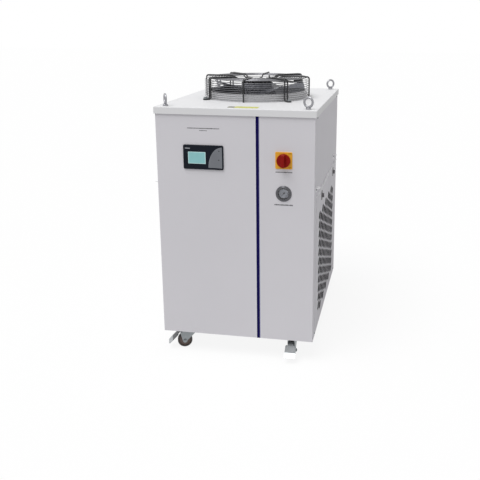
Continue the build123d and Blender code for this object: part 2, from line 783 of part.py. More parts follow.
def make_lid():
    x, r = LID_W / 2, LID_BEND
    lid = block(-x, x, LID_FRONT, LID_BACK, TOP - LID_RIM, TOP)
    rim = lid.edges().filter_by(Axis.Z) + lid.faces().sort_by(Axis.Z)[-1].edges()
    lid = fillet(rim, r)
    core = block(-x + SHEET, x - SHEET, LID_FRONT + SHEET, LID_BACK - SHEET,
                 TOP - LID_RIM - 1, UNDER_LID)
    rim = core.edges().filter_by(Axis.Z) + core.faces().sort_by(Axis.Z)[-1].edges()
    lid -= fillet(rim, r - SHEET)
    lid -= disc(COLLAR_R - COLLAR_T, UNDER_LID - 1, TOP + 1, 0, FAN_Y)
    for px, py in eye_places():
        lid -= disc(EYE_SHANK_R + EYE_HOLE_GAP, UNDER_LID - 1, TOP + 1, px, py)
    for px, py in fan_bolt_places():
        lid -= disc(FAN_BOLT_R + CUTOUT_GAP / 2, UNDER_LID - 1, TOP + 1, px, py)
    add("top_cover", lid)


def make_hooks():
    hooks = []
    for side in (-1, 1):
        for y in HOOK_YS:
            leg = sorted((side * SIDE, side * (SIDE + HOOK_T)))
            arm = sorted((side * SIDE, side * (SIDE + HOOK_OUT)))
            y0, y1 = y - HOOK_W / 2, y + HOOK_W / 2
            hook = block(*leg, y0, y1, HOOK_Z - HOOK_LEG - HOOK_T, HOOK_Z)
            hook += block(*arm, y0, y1, HOOK_Z - HOOK_T, HOOK_Z)
            hook = drill(hook, hook_screws(side), "+x")
            hooks.append(hook)
    add("side_hooks", group(hooks))


def eye_places():
    places = []
    for x in (-EYE_X, EYE_X):
        for y in (LID_FRONT + EYE_INSET, LID_BACK - EYE_INSET):
            places.append((x, y))
    return places


def make_eyes():
    eyes = []
    ring_z = EYE_COLLAR_H + EYE_RING_R + EYE_WIRE_R * 0.6
    for (x, y), angle in zip(eye_places(), EYE_ANGLES):
        collar = disc(EYE_COLLAR_R, 0, EYE_COLLAR_H)
        collar = fillet(collar.edges().sort_by(Axis.Z)[-1], 1.5)
        ring = Pos(0, 0, ring_z) * Rot(90, 0, 0) * Torus(EYE_RING_R, EYE_WIRE_R)
        neck = disc(EYE_NECK_R, 0, EYE_COLLAR_H + EYE_WIRE_R)
        shank = disc(EYE_SHANK_R, -EYE_SHANK_L, TINY)
        eye = collar + ring + neck + shank
        eyes.append(Pos(x, y, TOP) * Rot(0, 0, angle) * eye)
    add("lifting_eyes", group(eyes))


def arm_angles(double):
    step = 360.0 / ARM_COUNT
    first = 1 if double else 0
    return [ARM_FIRST_ANGLE + step * n for n in range(first, ARM_COUNT, 2)]


def fan_bolt_places():
    r = ARM_R + ARM_FOOT - ARM_PAIR / 2
    places = []
    for angle in arm_angles(True):
        a = radians(angle)
        places.append((r * cos(a), FAN_Y + r * sin(a)))
    return places


def make_venturi():
    r = COLLAR_R
    collar = disc(r, 0, COLLAR_H) + disc(r + COLLAR_FLANGE, 0, COLLAR_T)
    collar += disc(r + COLLAR_LIP, COLLAR_H - COLLAR_T, COLLAR_H)
    collar -= disc(r - COLLAR_T, -1, COLLAR_H + 1)
    add("venturi_ring", Pos(0, FAN_Y, TOP) * collar)


def square_ring(radius, z):
    h = RING_WIRE / 2
    return disc(radius + h, z - h, z + h) - disc(radius - h, z - h - 1, z + h + 1)


def make_guard_rings():
    rings = [square_ring(RING_R, SIDE_RING_LOW + SIDE_RING_PITCH * n) for n in range(SIDE_RINGS)]
    for n in range(TOP_RINGS):
        rings.append(square_ring(TOP_RING_OUT - TOP_RING_PITCH * n, TOP_RING_Z))
    add("fan_guard_rings", group([Pos(0, FAN_Y, TOP) * ring for ring in rings]))


def arm_profile():
    """Radius and height of one wire, from its tip on the motor out to the foot."""
    land = MOTOR_FLANGE_Z + ARM_WIRE_R
    return [(ARM_TIP_R, land), (ARM_LAND_R, land), (ARM_DIP_R, ARM_OVER), (ARM_R, ARM_OVER)]


def single_arm():
    points = [(r, 0, z) for r, z in arm_profile()] + [(ARM_R, 0, 0)]
    bends = [ARM_DIP_BEND, ARM_DIP_BEND, ARM_TOP_BEND]
    return tube_along(points, bends, ARM_WIRE_R)


def double_arm():
    half = ARM_PAIR / 2
    foot = [(ARM_R, ARM_WIRE_R), (ARM_R + ARM_FOOT, ARM_WIRE_R)]
    out = [(r, half, z) for r, z in arm_profile() + foot]
    back = [(r, -half, z) for r, z in reversed(arm_profile() + foot)]
    bends = [ARM_DIP_BEND, ARM_DIP_BEND, ARM_TOP_BEND, ARM_FOOT_BEND, half - TINY]
    return tube_along(out + back, bends + bends[::-1], ARM_WIRE_R)


def make_guard_arms():
    arms = []
    for double, arm in ((True, double_arm()), (False, single_arm())):
        for angle in arm_angles(double):
            arms.append(Pos(0, FAN_Y, TOP) * Rot(0, 0, angle) * arm)
    add("fan_guard_arms", group(arms))


def make_fan_bolts():
    seat = 2 * ARM_WIRE_R
    bolt = disc(FAN_WASHER_R, seat, seat + FAN_WASHER_T)
    head = extrude(RegularPolygon(FAN_BOLT_HEAD / 2, 6, major_radius=False), FAN_BOLT_HEAD_H)
    bolt += Pos(0, 0, seat + FAN_WASHER_T) * head
    bolt += disc(FAN_BOLT_R, seat - FAN_BOLT_L, seat + TINY)
    add("fan_bolts", group([Pos(x, y, TOP) * bolt for x, y in fan_bolt_places()]))


def make_fan_motor():
    top, low = MOTOR_FLANGE_Z, MOTOR_FLANGE_Z - MOTOR_FLANGE_T
    motor = disc(MOTOR_FLANGE_R, low, top) + disc(MOTOR_CAP_R, top, top + MOTOR_CAP_H)
    motor = fillet(motor.edges().sort_by(Axis.Z)[-1], 2)
    motor += disc(BEARING_R, low - BEARING_DROP, low + TINY)
    motor -= disc(SHAFT_R + TURN_GAP, low - BEARING_DROP - 1, top)
    add("fan_motor", Pos(0, FAN_Y, TOP) * motor)


def blade():
    tip = COLLAR_R - COLLAR_T - BLADE_TIP_GAP
    root = ROTOR_R - 6
    a, s = BLADE_HALF_ANGLE, BLADE_SWEEP

    def at(radius, angle):
        return (radius * cos(radians(angle)), radius * sin(radians(angle)))

    mid = (root + tip) / 2
    lead = ThreePointArc(at(root, a), at(mid, a + s / 2), at(tip, a + s))
    outer = ThreePointArc(at(tip, a + s), at(tip, s), at(tip, s - a))
    trail = ThreePointArc(at(tip, s - a), at(mid, s / 2 - a), at(root, -a))
    inner = Line(at(root, -a), at(root, a))
    plate = extrude(make_face(lead + outer + trail + inner), BLADE_T / 2, both=True)
    plate = Rot(0, 0, -s / 2) * plate
    plate = Rot(BLADE_PITCH, 0, 0) * plate
    return (Pos(0, 0, BLADE_MID_Z) * plate) & disc(tip, -ROTOR_HIGH, ROTOR_HIGH)


def make_fan_rotor():
    hub = disc(ROTOR_R, ROTOR_LOW, ROTOR_HIGH)
    hub = fillet(hub.edges().filter_by(GeomType.CIRCLE), ROTOR_CORNER)
    rotor = hub
    for n in range(BLADES):
        rotor += Rot(0, 0, 360.0 / BLADES * n) * blade()
    floor = MOTOR_FLANGE_Z - MOTOR_FLANGE_T - BEARING_DROP - 2
    rotor -= disc(BEARING_R + 2, floor, ROTOR_HIGH + 1)
    rotor += disc(SHAFT_R, floor - TINY, MOTOR_FLANGE_Z - 1)
    add("fan_rotor", Pos(0, FAN_Y, TOP) * rotor)


def make_cable_box():
    top = TOP_RING_Z - RING_WIRE / 2
    low = top - CABLE_BOX_H
    r = CABLE_BOX_R
    box = block(r - CABLE_BOX_L / 2, r + CABLE_BOX_L / 2, -CABLE_BOX_W / 2, CABLE_BOX_W / 2, low, top)
    box = fillet(box.edges().filter_by(Axis.Z), 3)
    lead_z = MOTOR_FLANGE_Z - MOTOR_FLANGE_T / 2
    box += rod_x(LEAD_R, MOTOR_FLANGE_R, r, 0, lead_z)
    add("fan_cable_box", Pos(0, FAN_Y, TOP) * Rot(0, 0, CABLE_BOX_ANGLE) * box)


def make_controller():
    z = TOP - CONTROLLER_DROP
    outline = RectangleRounded(CONTROLLER_W, CONTROLLER_H, CONTROLLER_CORNER)
    front = Plane.XZ.offset(-FRONT)
    housing = extrude(front * (Pos(CONTROLLER_X, z) * outline), CONTROLLER_T)
    housing = fillet(housing.faces().sort_by(Axis.Y)[0].edges(), 1.2)
    w, h = CONTROLLER_BODY_W / 2, CONTROLLER_BODY_H / 2
    housing += block(CONTROLLER_X - w, CONTROLLER_X + w, FRONT, FRONT + CONTROLLER_BODY_D,
                     z - h, z + h)
    w, h = DISPLAY_W / 2, DISPLAY_H / 2
    zd = TOP - DISPLAY_DROP
    y0 = FRONT - CONTROLLER_T
    housing -= block(DISPLAY_X - w, DISPLAY_X + w, y0 - 1, y0 + DISPLAY_DEEP, zd - h, zd + h)
    add("controller_housing", housing)
    w, h = w - DISPLAY_GAP, h - DISPLAY_GAP
    add("controller_screen", block(DISPLAY_X - w, DISPLAY_X + w, y0, y0 + DISPLAY_DEEP,
                                   zd - h, zd + h))


def make_switch():
    z = TOP - SWITCH_DROP
    outline = RectangleRounded(SWITCH_PLATE, SWITCH_PLATE, SWITCH_CORNER)
    plate = extrude(Plane.XZ.offset(-FRONT) * (Pos(SWITCH_X, z) * outline), SWITCH_PLATE_T)
    plate = fillet(plate.faces().sort_by(Axis.Y)[0].edges(), 1.0)
    face = FRONT - SWITCH_PLATE_T
    hole = KNOB_SHAFT_R + TURN_GAP
    plate -= rod_y(hole, face - 1, FRONT + 1, SWITCH_X, z)
    add("switch_plate", plate)
    h = SWITCH_BODY / 2
    body = block(SWITCH_X - h, SWITCH_X + h, FRONT, FRONT + SWITCH_BODY_D, z - h, z + h)
    body -= rod_y(hole, FRONT - 1, FRONT + KNOB_SHAFT_L + 1, SWITCH_X, z)
    add("switch_body", body)
    back = face - TURN_GAP
    front = back - KNOB_BASE
    knob = rod_y(KNOB_R, front, back, SWITCH_X, z)
    knob = fillet(knob.edges().sort_by(Axis.Y)[0], KNOB_CORNER)
    w, half = KNOB_GRIP_W / 2, KNOB_GRIP_L / 2
    grip = Polygon((-w, half), (-w, KNOB_TIP - half), (0, -half), (w, KNOB_TIP - half), (w, half),
                   align=None)
    grip = extrude(Plane.XZ.offset(-front - TINY) * (Pos(SWITCH_X, z) * grip), KNOB_GRIP_H + TINY)
    grip = fillet(grip.edges().filter_by(Axis.Y), 1.5)
    grip = fillet(grip.faces().sort_by(Axis.Y)[0].edges(), 1.5)
    knob += grip
    knob += rod_y(KNOB_SHAFT_R, back - TINY, FRONT + KNOB_SHAFT_L, SWITCH_X, z)
    add("switch_knob", knob)


def make_gauge():
    x, z = GAUGE_X, TOP - GAUGE_DROP
    face = FRONT - GAUGE_FLANGE_T
    case = rod_y(GAUGE_FLANGE_R, face, FRONT, x, z)
    case = chamfer(case.edges().sort_by(Axis.Y)[0], GAUGE_BEVEL, GAUGE_BEVEL * 1.6)
    case += rod_y(GAUGE_CASE_R, FRONT - TINY, FRONT + GAUGE_CASE_D, x, z)
    stem = FRONT + GAUGE_CASE_D
    case += rod_y(GAUGE_STEM_R, stem - TINY, stem + GAUGE_STEM_L, x, z)
    floor = FRONT + DIAL_DEPTH
    lens_back = face + LENS_SET_BACK + LENS_T
    case -= rod_y(DIAL_R, face - 1, floor, x, z)
    case -= rod_y(LENS_R, face - 1, lens_back, x, z)
    case -= rod_y(NEEDLE_PIN_R + TURN_GAP, floor - 1, floor + NEEDLE_PIN_L, x, z)
    add("gauge_case", case)
    add("gauge_lens", rod_y(LENS_R - DISPLAY_GAP, lens_back - LENS_T, lens_back, x, z))
    dial_face = floor - DIAL_T
    dial = rod_y(DIAL_R - DISPLAY_GAP, dial_face, floor, x, z)
    dial -= rod_y(NEEDLE_PIN_R + TURN_GAP, dial_face - 1, floor + 1, x, z)
    add("gauge_dial", dial)
    back = dial_face - NEEDLE_LIFT
    w = NEEDLE_W / 2
    blade_shape = Polygon((-NEEDLE_TAIL, -w), (0, -w), (NEEDLE_L, -0.3), (NEEDLE_L, 0.3),
                          (0, w), (-NEEDLE_TAIL, w), align=None)
    place = Pos(x, z) * Rot(0, 0, NEEDLE_ZERO)
    needle = extrude(Plane.XZ.offset(-back) * (place * blade_shape), NEEDLE_T)
    needle += rod_y(NEEDLE_HUB_R, back - NEEDLE_T - 0.4, back, x, z)
    needle += rod_y(NEEDLE_PIN_R, back - TINY, back + NEEDLE_PIN_L, x, z)
    add("gauge_needle", needle)


def caster_at(side, y):
    return Pos(side * CASTER_X, y, 0)


def make_caster_plates():
    plates = []
    low = BASE_LOW - CASTER_PLATE_T
    for side in (-1, 1):
        half = CASTER_PLATE / 2
        plate = block(-half, half, -half, half, low, BASE_LOW)
        plate = fillet(plate.edges().filter_by(Axis.Z), 5)
        race = disc(RACE_R, RACE_LOW, low + TINY)
        race = fillet(race.edges().sort_by(Axis.Z)[0], 2.5)
        head_top = FORK_UNDER - TURN_GAP
        pin = disc(KING_PIN_R, head_top - TINY, RACE_LOW + TINY)
        pin += disc(KING_HEAD_R, head_top - KING_HEAD_T, head_top)
        plates.append(caster_at(side, FRONT_CASTER_Y) * (plate + race + pin))
    add("caster_plates", group(plates))


def leg_sketch(points, wheel_x):
    return Polygon(*points, align=None) + Pos(wheel_x, WHEEL_R) * Circle(AXLE_HEAD - 3)


def legs(points, wheel_x):
    outline = leg_sketch(points, wheel_x)
    pair = extrude(Plane.XZ.offset(-LEG_OUT) * outline, LEG_T)
    pair += extrude(Plane.XZ.offset(LEG_IN) * outline, LEG_T)
    return pair - rod_y(AXLE_R + AXLE_FIT, -LEG_OUT - 1, LEG_OUT + 1, wheel_x, WHEEL_R)


def make_front_forks():
    outline = [(-26, FORK_TOP), (-26, 70), (TRAIL - 10, WHEEL_R), (TRAIL + 10, WHEEL_R),
               (42, 68), (42, FORK_TOP)]
    fork = block(-26, 30, -LEG_OUT, LEG_OUT, FORK_UNDER, FORK_TOP) + legs(outline, TRAIL)
    fork -= disc(KING_PIN_R + TURN_GAP, FORK_UNDER - 1, FORK_TOP + 1)
    fork -= rod_y(PEDAL_PIN_R + TURN_GAP, -LEG_OUT - 1, LEG_OUT + 1, *PEDAL_PIVOT)
    add("caster_fork_left", caster_at(-1, FRONT_CASTER_Y) * Rot(0, 0, SWIVEL_LEFT) * fork)
    add("caster_fork_right", caster_at(1, FRONT_CASTER_Y) * Rot(0, 0, SWIVEL_RIGHT) * fork)


def axle():
    pin = rod_y(AXLE_R, -LEG_OUT - TINY, LEG_OUT + AXLE_HEAD_T + 2)
    head = hex_y(AXLE_HEAD, -LEG_OUT - AXLE_HEAD_T, -LEG_OUT)
    nut = hex_y(AXLE_HEAD, LEG_OUT, LEG_OUT + AXLE_HEAD_T)
    return pin + head + nut


def wheel():
    body = rod_y(WHEEL_R, -TREAD_W / 2, TREAD_W / 2)
    body = fillet(body.edges().filter_by(GeomType.CIRCLE), TREAD_CORNER)
    for side in (-1, 1):
        y0, y1 = sorted((side * (TREAD_W / 2 - WEB_DEEP), side * (TREAD_W / 2 + 1)))
        body -= rod_y(WEB_R, y0, y1)
    body += rod_y(HUB_R, -HUB_W / 2, HUB_W / 2)
    return body - rod_y(AXLE_R + TURN_GAP, -HUB_W, HUB_W)


def pedal():
    x, z = PEDAL_PIVOT
    flat = block(0, PEDAL_NARROW_L + 4, -PEDAL_LUG_W / 2, PEDAL_LUG_W / 2, 0, PEDAL_T)
    pad = block(PEDAL_NARROW_L, PEDAL_L, -PEDAL_W / 2, PEDAL_W / 2, 0, PEDAL_T)
    pad = fillet(pad.edges().filter_by(Axis.Z), PEDAL_CORNER)
    lever = rod_y(PEDAL_LUG_R, -PEDAL_LUG_W / 2, PEDAL_LUG_W / 2)
    lever += Pos(0, 0, PEDAL_LUG_R - PEDAL_T) * (flat + pad)
    lever += rod_y(PEDAL_PIN_R, -LEG_OUT, LEG_OUT)
    return Pos(x, 0, z) * Rot(0, -PEDAL_SLOPE, 0) * lever


def make_front_wheels():
    for side, turn, name in ((-1, SWIVEL_LEFT, "left"), (1, SWIVEL_RIGHT, "right")):
        place = caster_at(side, FRONT_CASTER_Y) * Rot(0, 0, turn)
        hub = place * Pos(TRAIL, 0, WHEEL_R)
        add(f"front_axle_{name}", hub * axle())
        add(f"wheel_front_{name}", hub * wheel())
        add(f"brake_pedal_{name}", place * pedal())


def make_rear_casters():
    low = BASE_LOW - CASTER_PLATE_T
    half = CASTER_PLATE / 2
    outline = [(-30, low + TINY), (-30, low - 10), (-10, WHEEL_R), (10, WHEEL_R), (30, low - 10),
               (30, low + TINY)]
    bracket = block(-half, half, -half, half, low, BASE_LOW)
    bracket = fillet(bracket.edges().filter_by(Axis.Z), 5) + legs(outline, 0)
    turn = Rot(0, 0, 90)
    brackets, axles = [], []
    for side, name in ((-1, "left"), (1, "right")):
        place = caster_at(side, REAR_CASTER_Y) * turn
        brackets.append(place * bracket)
        axles.append(place * Pos(0, 0, WHEEL_R) * axle())
        add(f"wheel_rear_{name}", place * Pos(0, 0, WHEEL_R) * wheel())
    add("rear_caster_brackets", group(brackets))
    add("rear_axles", group(axles))


def make_screws():
    screws = []
    for side, way in ((-1, "-x"), (1, "+x")):
        for place in side_screws(side) + hook_screws(side):
            screws.append(toward(place, way) * screw())
    for place in rear_screws():
        screws.append(toward(place, "+y") * screw())
    for place in service_screws():
        screws.append(toward(place, "-x") * screw(SMALL_SCREW))
    add("panel_screws", group(screws))


def neck_place():
    """Frame at the open end of the filler neck, its Z along the neck."""
    run = TANK_GAP + NECK_R + NECK_OUT
    return Pos(TANK_X, BACK + NECK_OUT, TANK_TOP + run) * Rot(-NECK_ANGLE, 0, 0)


def make_tank():
    x0, x1 = TANK_LEFT, TANK_RIGHT
    tank = block(x0, x1, TANK_FRONT, TANK_BACK, BASE_TOP, TANK_TOP)
    tank = fillet(tank.edges().filter_by(Axis.Z), TANK_CORNER)
    w = TANK_WALL
    core = block(x0 + w, x1 - w, TANK_FRONT + w, TANK_BACK - w, BASE_TOP + w, TANK_TOP - w)
    core = fillet(core.edges().filter_by(Axis.Z), TANK_CORNER - w)
    length = (TANK_GAP + NECK_R + NECK_OUT) / SLOPE
    place = neck_place()
    neck = place * disc(NECK_R, -length - NECK_R, 0)
    below = block(x0, x1, TANK_FRONT, TANK_BACK, BASE_TOP, TANK_TOP - TANK_WALL / 2)
    tank = (tank + (neck - below)) - core
    add("water_tank", tank - place * disc(NECK_R - NECK_WALL, -length - 2 * NECK_R, 1))


def make_fill_cap():
    skirt_in = NECK_R + TURN_GAP
    cap = disc(CAP_R - CAP_RIB_OUT, -CAP_LAP, CAP_T)
    cap = fillet(cap.edges().sort_by(Axis.Z)[-1], CAP_EDGE)
    for n in range(CAP_RIBS):
        rib = disc(2.0, -CAP_LAP, CAP_T - 3, CAP_R - 2, 0)
        cap += Rot(0, 0, 360.0 / CAP_RIBS * n) * rib
    cap -= disc(skirt_in, -CAP_LAP - 1, TURN_GAP)
    add("fill_cap", neck_place() * cap)


def make_drain():
    x, z = DRAIN_X, DRAIN_HEIGHT
    valve = rod_y(DRAIN_PIPE_R, TANK_BACK, BACK + 1, x, z)
    valve += rod_y(DRAIN_BODY_R, BACK, BACK + DRAIN_OUT, x, z)
    valve += disc(DRAIN_STEM_R + 3, z, z + DRAIN_BODY_R + 2, x, BACK + DRAIN_STEM_AT)
    valve -= rod_y(DRAIN_BORE_R, BACK + DRAIN_OUT - DRAIN_BORE_L, BACK + DRAIN_OUT + 1, x, z)
    post = z + DRAIN_BODY_R + 2
    valve -= disc(DRAIN_STEM_R + TURN_GAP, post - DRAIN_STEM_H, post + 1, x, BACK + DRAIN_STEM_AT)
    add("drain_valve", valve)
    low = post + TURN_GAP
    handle = block(-HANDLE_W / 2, HANDLE_L, -HANDLE_W / 2, HANDLE_W / 2, low, low + HANDLE_T)
    handle = fillet(handle.edges().filter_by(Axis.Z), 5)
    handle += disc(DRAIN_STEM_R, low - DRAIN_STEM_H, low + TINY)
    add("drain_handle", Pos(x, BACK + DRAIN_STEM_AT, 0) * handle)


def make_level_gauge():
    half = LEVEL_BLOCK / 2
    y = BACK + LEVEL_OUT / 2
    gauge = disc(LEVEL_R, LEVEL_LOW, LEVEL_HIGH, LEVEL_X, y)
    for z in (LEVEL_LOW, LEVEL_HIGH):
        gauge += block(LEVEL_X - half, LEVEL_X + half, BACK, BACK + LEVEL_OUT, z - half, z + half)
        gauge += rod_y(LEVEL_STUB_R, TANK_BACK, BACK + 1, LEVEL_X, z)
    add("level_gauge", gauge)


def make_ports():
    ports = []
    for x in (PORT_INLET_X, PORT_OUTLET_X):
        port = hex_y(PORT_HEX, BACK, BACK + PORT_HEX_T, x, PORT_HEIGHT)
        port += rod_y(PORT_R, BACK, BACK + PORT_OUT, x, PORT_HEIGHT)
        port += rod_y(PORT_TAIL_R, BACK - PORT_TAIL_L, BACK + 1, x, PORT_HEIGHT)
        port -= rod_y(PORT_BORE_R, BACK - PORT_TAIL_L - 1, BACK + PORT_OUT + 1, x, PORT_HEIGHT)
        mouth = BACK + PORT_OUT - PORT_THREAD_L
        port -= rod_y(PORT_THREAD_R, mouth, BACK + PORT_OUT + 1, x, PORT_HEIGHT)
        ports.append(port)
    add("water_ports", group(ports))


def make_gland():
    x, z = GLAND_X, GLAND_HEIGHT
    nose = BACK + GLAND_HEX_T + GLAND_DOME_L
    dome = rod_y(GLAND_DOME_R, BACK + GLAND_HEX_T - TINY, nose, x, z)
    dome = fillet(dome.edges().sort_by(Axis.Y)[-1], 4)
    gland = dome + hex_y(GLAND_HEX, BACK, BACK + GLAND_HEX_T, x, z)
    nut = BACK - SHEET - GLAND_NUT_T
    gland += rod_y(GLAND_BODY_R, nut - 2, BACK + TINY, x, z)
    gland += hex_y(GLAND_HEX, nut, nut + GLAND_NUT_T, x, z)
    gland -= rod_y(GLAND_BORE_R, nut - 3, nose + 1, x, z)
    add("cable_gland", gland)


def make_condenser():
    y0, y1 = LOWER_FROM + COIL_END_INSET, LOWER_TO - COIL_END_INSET
    boss = 2 * PIPE_R
    x0, x1 = COIL_X0 + COIL_SKIN, COIL_X1 - COIL_SKIN
    coil = block(x0, x1, y0, y1, COIL_LOW, COIL_HIGH)
    for a, b in ((y0 - COIL_END_T, y0), (y1, y1 + COIL_END_T)):
        coil += block(COIL_X0, COIL_X1, a, b, BASE_TOP, COIL_HIGH + COIL_SKIN)
    for z in (COIL_LOW, COIL_HIGH):
        coil += block(COIL_X0, COIL_X1, y0, y1, z, z + COIL_END_T)
    for z in (LIQUID_HEIGHT, COIL_HIGH - DISCHARGE_BELOW_COIL_TOP):
        coil += block(COIL_X0, x0 + 1, y0, y1, z - boss, z + boss)
    pitch = (COIL_HIGH - COIL_LOW) / COIL_PASSES
    x = (COIL_X0 + COIL_X1) / 2
    for n in range(COIL_PASSES):
        z = COIL_LOW + pitch * (n + 0.5)
        bend = Rot(0, 90, 0) * Torus(pitch / 4, COIL_TUBE_R)
        bend &= block(-pitch, pitch, -pitch, 0, -pitch, pitch)
        coil += Pos(x, y0 - COIL_END_T + TINY, z) * bend
    add("condenser_coil", coil)


def make_compressor():
    x, y = COMPRESSOR_X, COMPRESSOR_Y
    shell = disc(COMPRESSOR_R, COMPRESSOR_LOW, COMPRESSOR_HIGH)
    ends = shell.edges().filter_by(GeomType.CIRCLE).sort_by(Axis.Z)
    shell = fillet(ends[-1], COMPRESSOR_DOME)
    half = COMPRESSOR_PLATE / 2
    low = COMPRESSOR_LOW - COMPRESSOR_PLATE_T
    shell += block(-half, half, -half, half, low, COMPRESSOR_LOW + TINY)
    inset = half - COMPRESSOR_FOOT_R
    for px in (-inset, inset):
        for py in (-inset, inset):
            shell += disc(COMPRESSOR_FOOT_R, BASE_TOP, low + TINY, px, py)
    shell += disc(2 * PIPE_R, COMPRESSOR_HIGH - 1, COMPRESSOR_HIGH + COMPRESSOR_BOSS)
    shell += rod_x(2 * PIPE_R, 0, COMPRESSOR_R + COMPRESSOR_BOSS, 0, DISCHARGE_HEIGHT)
    add("compressor", Pos(x, y, 0) * shell)


def make_pump():
    x0 = PUMP_HEAD_X
    x1 = x0 + PUMP_HEAD_L
    x2 = x1 + PUMP_MOTOR_L
    pump = rod_x(PUMP_HEAD_R, x0, x1, PUMP_Y, PUMP_Z)
    motor = rod_x(PUMP_MOTOR_R, x1 - TINY, x2, PUMP_Y, PUMP_Z)
    motor = fillet(motor.edges().filter_by(GeomType.CIRCLE).sort_by(Axis.X)[-1], 12)
    pump += motor
    foot = block(x1 + 15, x2 - 20, PUMP_Y - 50, PUMP_Y + 50, BASE_TOP, BASE_TOP + PUMP_FOOT_T)
    saddle = 2 * PUMP_FOOT_GAP
    foot += block(x1 + 25, x2 - 30, PUMP_Y - 30, PUMP_Y + 30, BASE_TOP + saddle / 2, PUMP_Z)
    pump += foot
    pump += disc(PUMP_BOSS_R, PUMP_Z, PUMP_Z + PUMP_HEAD_R + 8, PORT_OUTLET_X, PUMP_Y)
    add("water_pump", pump)


def make_refrigerant_pipes():
    cx, cy = COMPRESSOR_X, COMPRESSOR_Y
    coil_z = COIL_HIGH - DISCHARGE_BELOW_COIL_TOP
    x0 = cx + COMPRESSOR_R + COMPRESSOR_BOSS
    rise = DISCHARGE_RISE_X
    discharge = [(x0, cy, DISCHARGE_HEIGHT), (rise, cy, DISCHARGE_HEIGHT),
                 (rise, cy, coil_z), (COIL_X0, cy, coil_z)]
    ly = TANK_FRONT - LIQUID_FROM_TANK
    liquid = [(COIL_X0, ly, LIQUID_HEIGHT), (TANK_X, ly, LIQUID_HEIGHT),
              (TANK_X, TANK_FRONT, LIQUID_HEIGHT)]
    suction = [(cx, TANK_FRONT, SUCTION_HEIGHT), (cx, cy, SUCTION_HEIGHT),
               (cx, cy, COMPRESSOR_HIGH + COMPRESSOR_BOSS)]
    pipes = [tube_along(discharge, [PIPE_BEND] * 2, PIPE_R),
             tube_along(liquid, [PIPE_BEND], PIPE_R),
             tube_along(suction, [PIPE_BEND], PIPE_R)]
    add("refrigerant_pipes", group(pipes))


def make_water_hoses():
    end = BACK - PORT_TAIL_L
    z = PORT_HEIGHT
    inlet_y = end - 2 * HOSE_BEND
    inlet = [(PORT_INLET_X, end, z), (PORT_INLET_X, inlet_y, z), (TANK_RIGHT, inlet_y, z)]
    pump_top = PUMP_Z + PUMP_HEAD_R + 8
    outlet = [(PORT_OUTLET_X, PUMP_Y, pump_top), (PORT_OUTLET_X, PUMP_Y, z),
              (PORT_OUTLET_X, end, z)]
    suction = [(TANK_RIGHT, PUMP_Y, PUMP_Z), (PUMP_HEAD_X, PUMP_Y, PUMP_Z)]
    hoses = [tube_along(inlet, [HOSE_BEND], HOSE_R), tube_along(outlet, [HOSE_BEND], HOSE_R),
             tube_along(suction, None, HOSE_R)]
    add("water_hoses", group(hoses))


def make_electrical_box():
    y0 = FRONT + SHEET + MID_RAIL
    y1 = y0 + ELECTRIC_D
    z1 = MID_RAIL_HEIGHT + MID_RAIL
    w = ELECTRIC_WALL
    box = block(ELECTRIC_X0, ELECTRIC_X1, y0, y1, ELECTRIC_LOW, z1)
    box -= block(ELECTRIC_X0 + w, ELECTRIC_X1 - w, y0 + w, y1 - w, ELECTRIC_LOW + w, z1 - w)
    lid_x = 2 * ELECTRIC_LID
    box += block(ELECTRIC_X0 + lid_x, ELECTRIC_X1 - lid_x, y1 - TINY, y1 + ELECTRIC_LID,
                 ELECTRIC_LOW + lid_x, z1 - lid_x)
    add("electrical_box", box)


def make_all():
    make_base_pan()
    make_frame()
    make_front_panels()
    make_stripe()
    make_side_panels()
    make_lower_panels()
    make_dust_screen()
    make_latches()
    make_rear_panel()
    make_lid()
    make_hooks()
    make_eyes()
    make_venturi()
    make_guard_rings()
    make_guard_arms()
    make_fan_bolts()
    make_fan_motor()
    make_fan_rotor()
    make_cable_box()
    make_controller()
    make_switch()
    make_gauge()
    make_caster_plates()
    make_front_forks()
    make_front_wheels()
    make_rear_casters()
    make_screws()
    make_tank()
    make_fill_cap()
    make_drain()
    make_level_gauge()
    make_ports()
    make_gland()
    make_condenser()
    make_compressor()
    make_pump()
    make_refrigerant_pipes()
    make_water_hoses()
    make_electrical_box()


make_all()
os.makedirs("parts", exist_ok=True)
for name, shape in PARTS.items():
    export_step(shape, f"parts/{name}.step")
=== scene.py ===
import bpy
import bmesh
import json
import math
import random
from mathutils import Matrix, Vector


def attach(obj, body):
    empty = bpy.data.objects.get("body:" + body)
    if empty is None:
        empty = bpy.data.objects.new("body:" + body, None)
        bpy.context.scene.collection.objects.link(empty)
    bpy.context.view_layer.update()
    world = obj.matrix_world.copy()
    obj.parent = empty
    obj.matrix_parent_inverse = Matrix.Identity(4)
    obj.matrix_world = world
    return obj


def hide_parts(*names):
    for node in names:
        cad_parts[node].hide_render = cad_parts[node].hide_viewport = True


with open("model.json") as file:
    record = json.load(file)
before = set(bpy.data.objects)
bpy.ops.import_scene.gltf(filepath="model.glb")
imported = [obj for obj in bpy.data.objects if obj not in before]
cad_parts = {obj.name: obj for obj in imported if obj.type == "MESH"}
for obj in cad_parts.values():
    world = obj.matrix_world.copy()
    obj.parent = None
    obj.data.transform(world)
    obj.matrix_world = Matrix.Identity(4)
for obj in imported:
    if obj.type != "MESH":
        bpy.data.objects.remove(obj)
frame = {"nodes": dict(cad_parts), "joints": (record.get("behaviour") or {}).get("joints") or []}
NODES = frame["nodes"]
random.seed(7)
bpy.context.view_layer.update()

# Places in the row frame, in metres; front features are in millimetres across and down from the lid
MM = 0.001
TOP = 1.055
LID_FRONT = -0.447788
FRONT = -0.443288
FAN = Vector((0.0, -0.007788, TOP))
CONTROLLER_FACE = FRONT - 0.005
SWITCH_FACE = FRONT - 0.003
DIAL_FACE = FRONT + 0.007
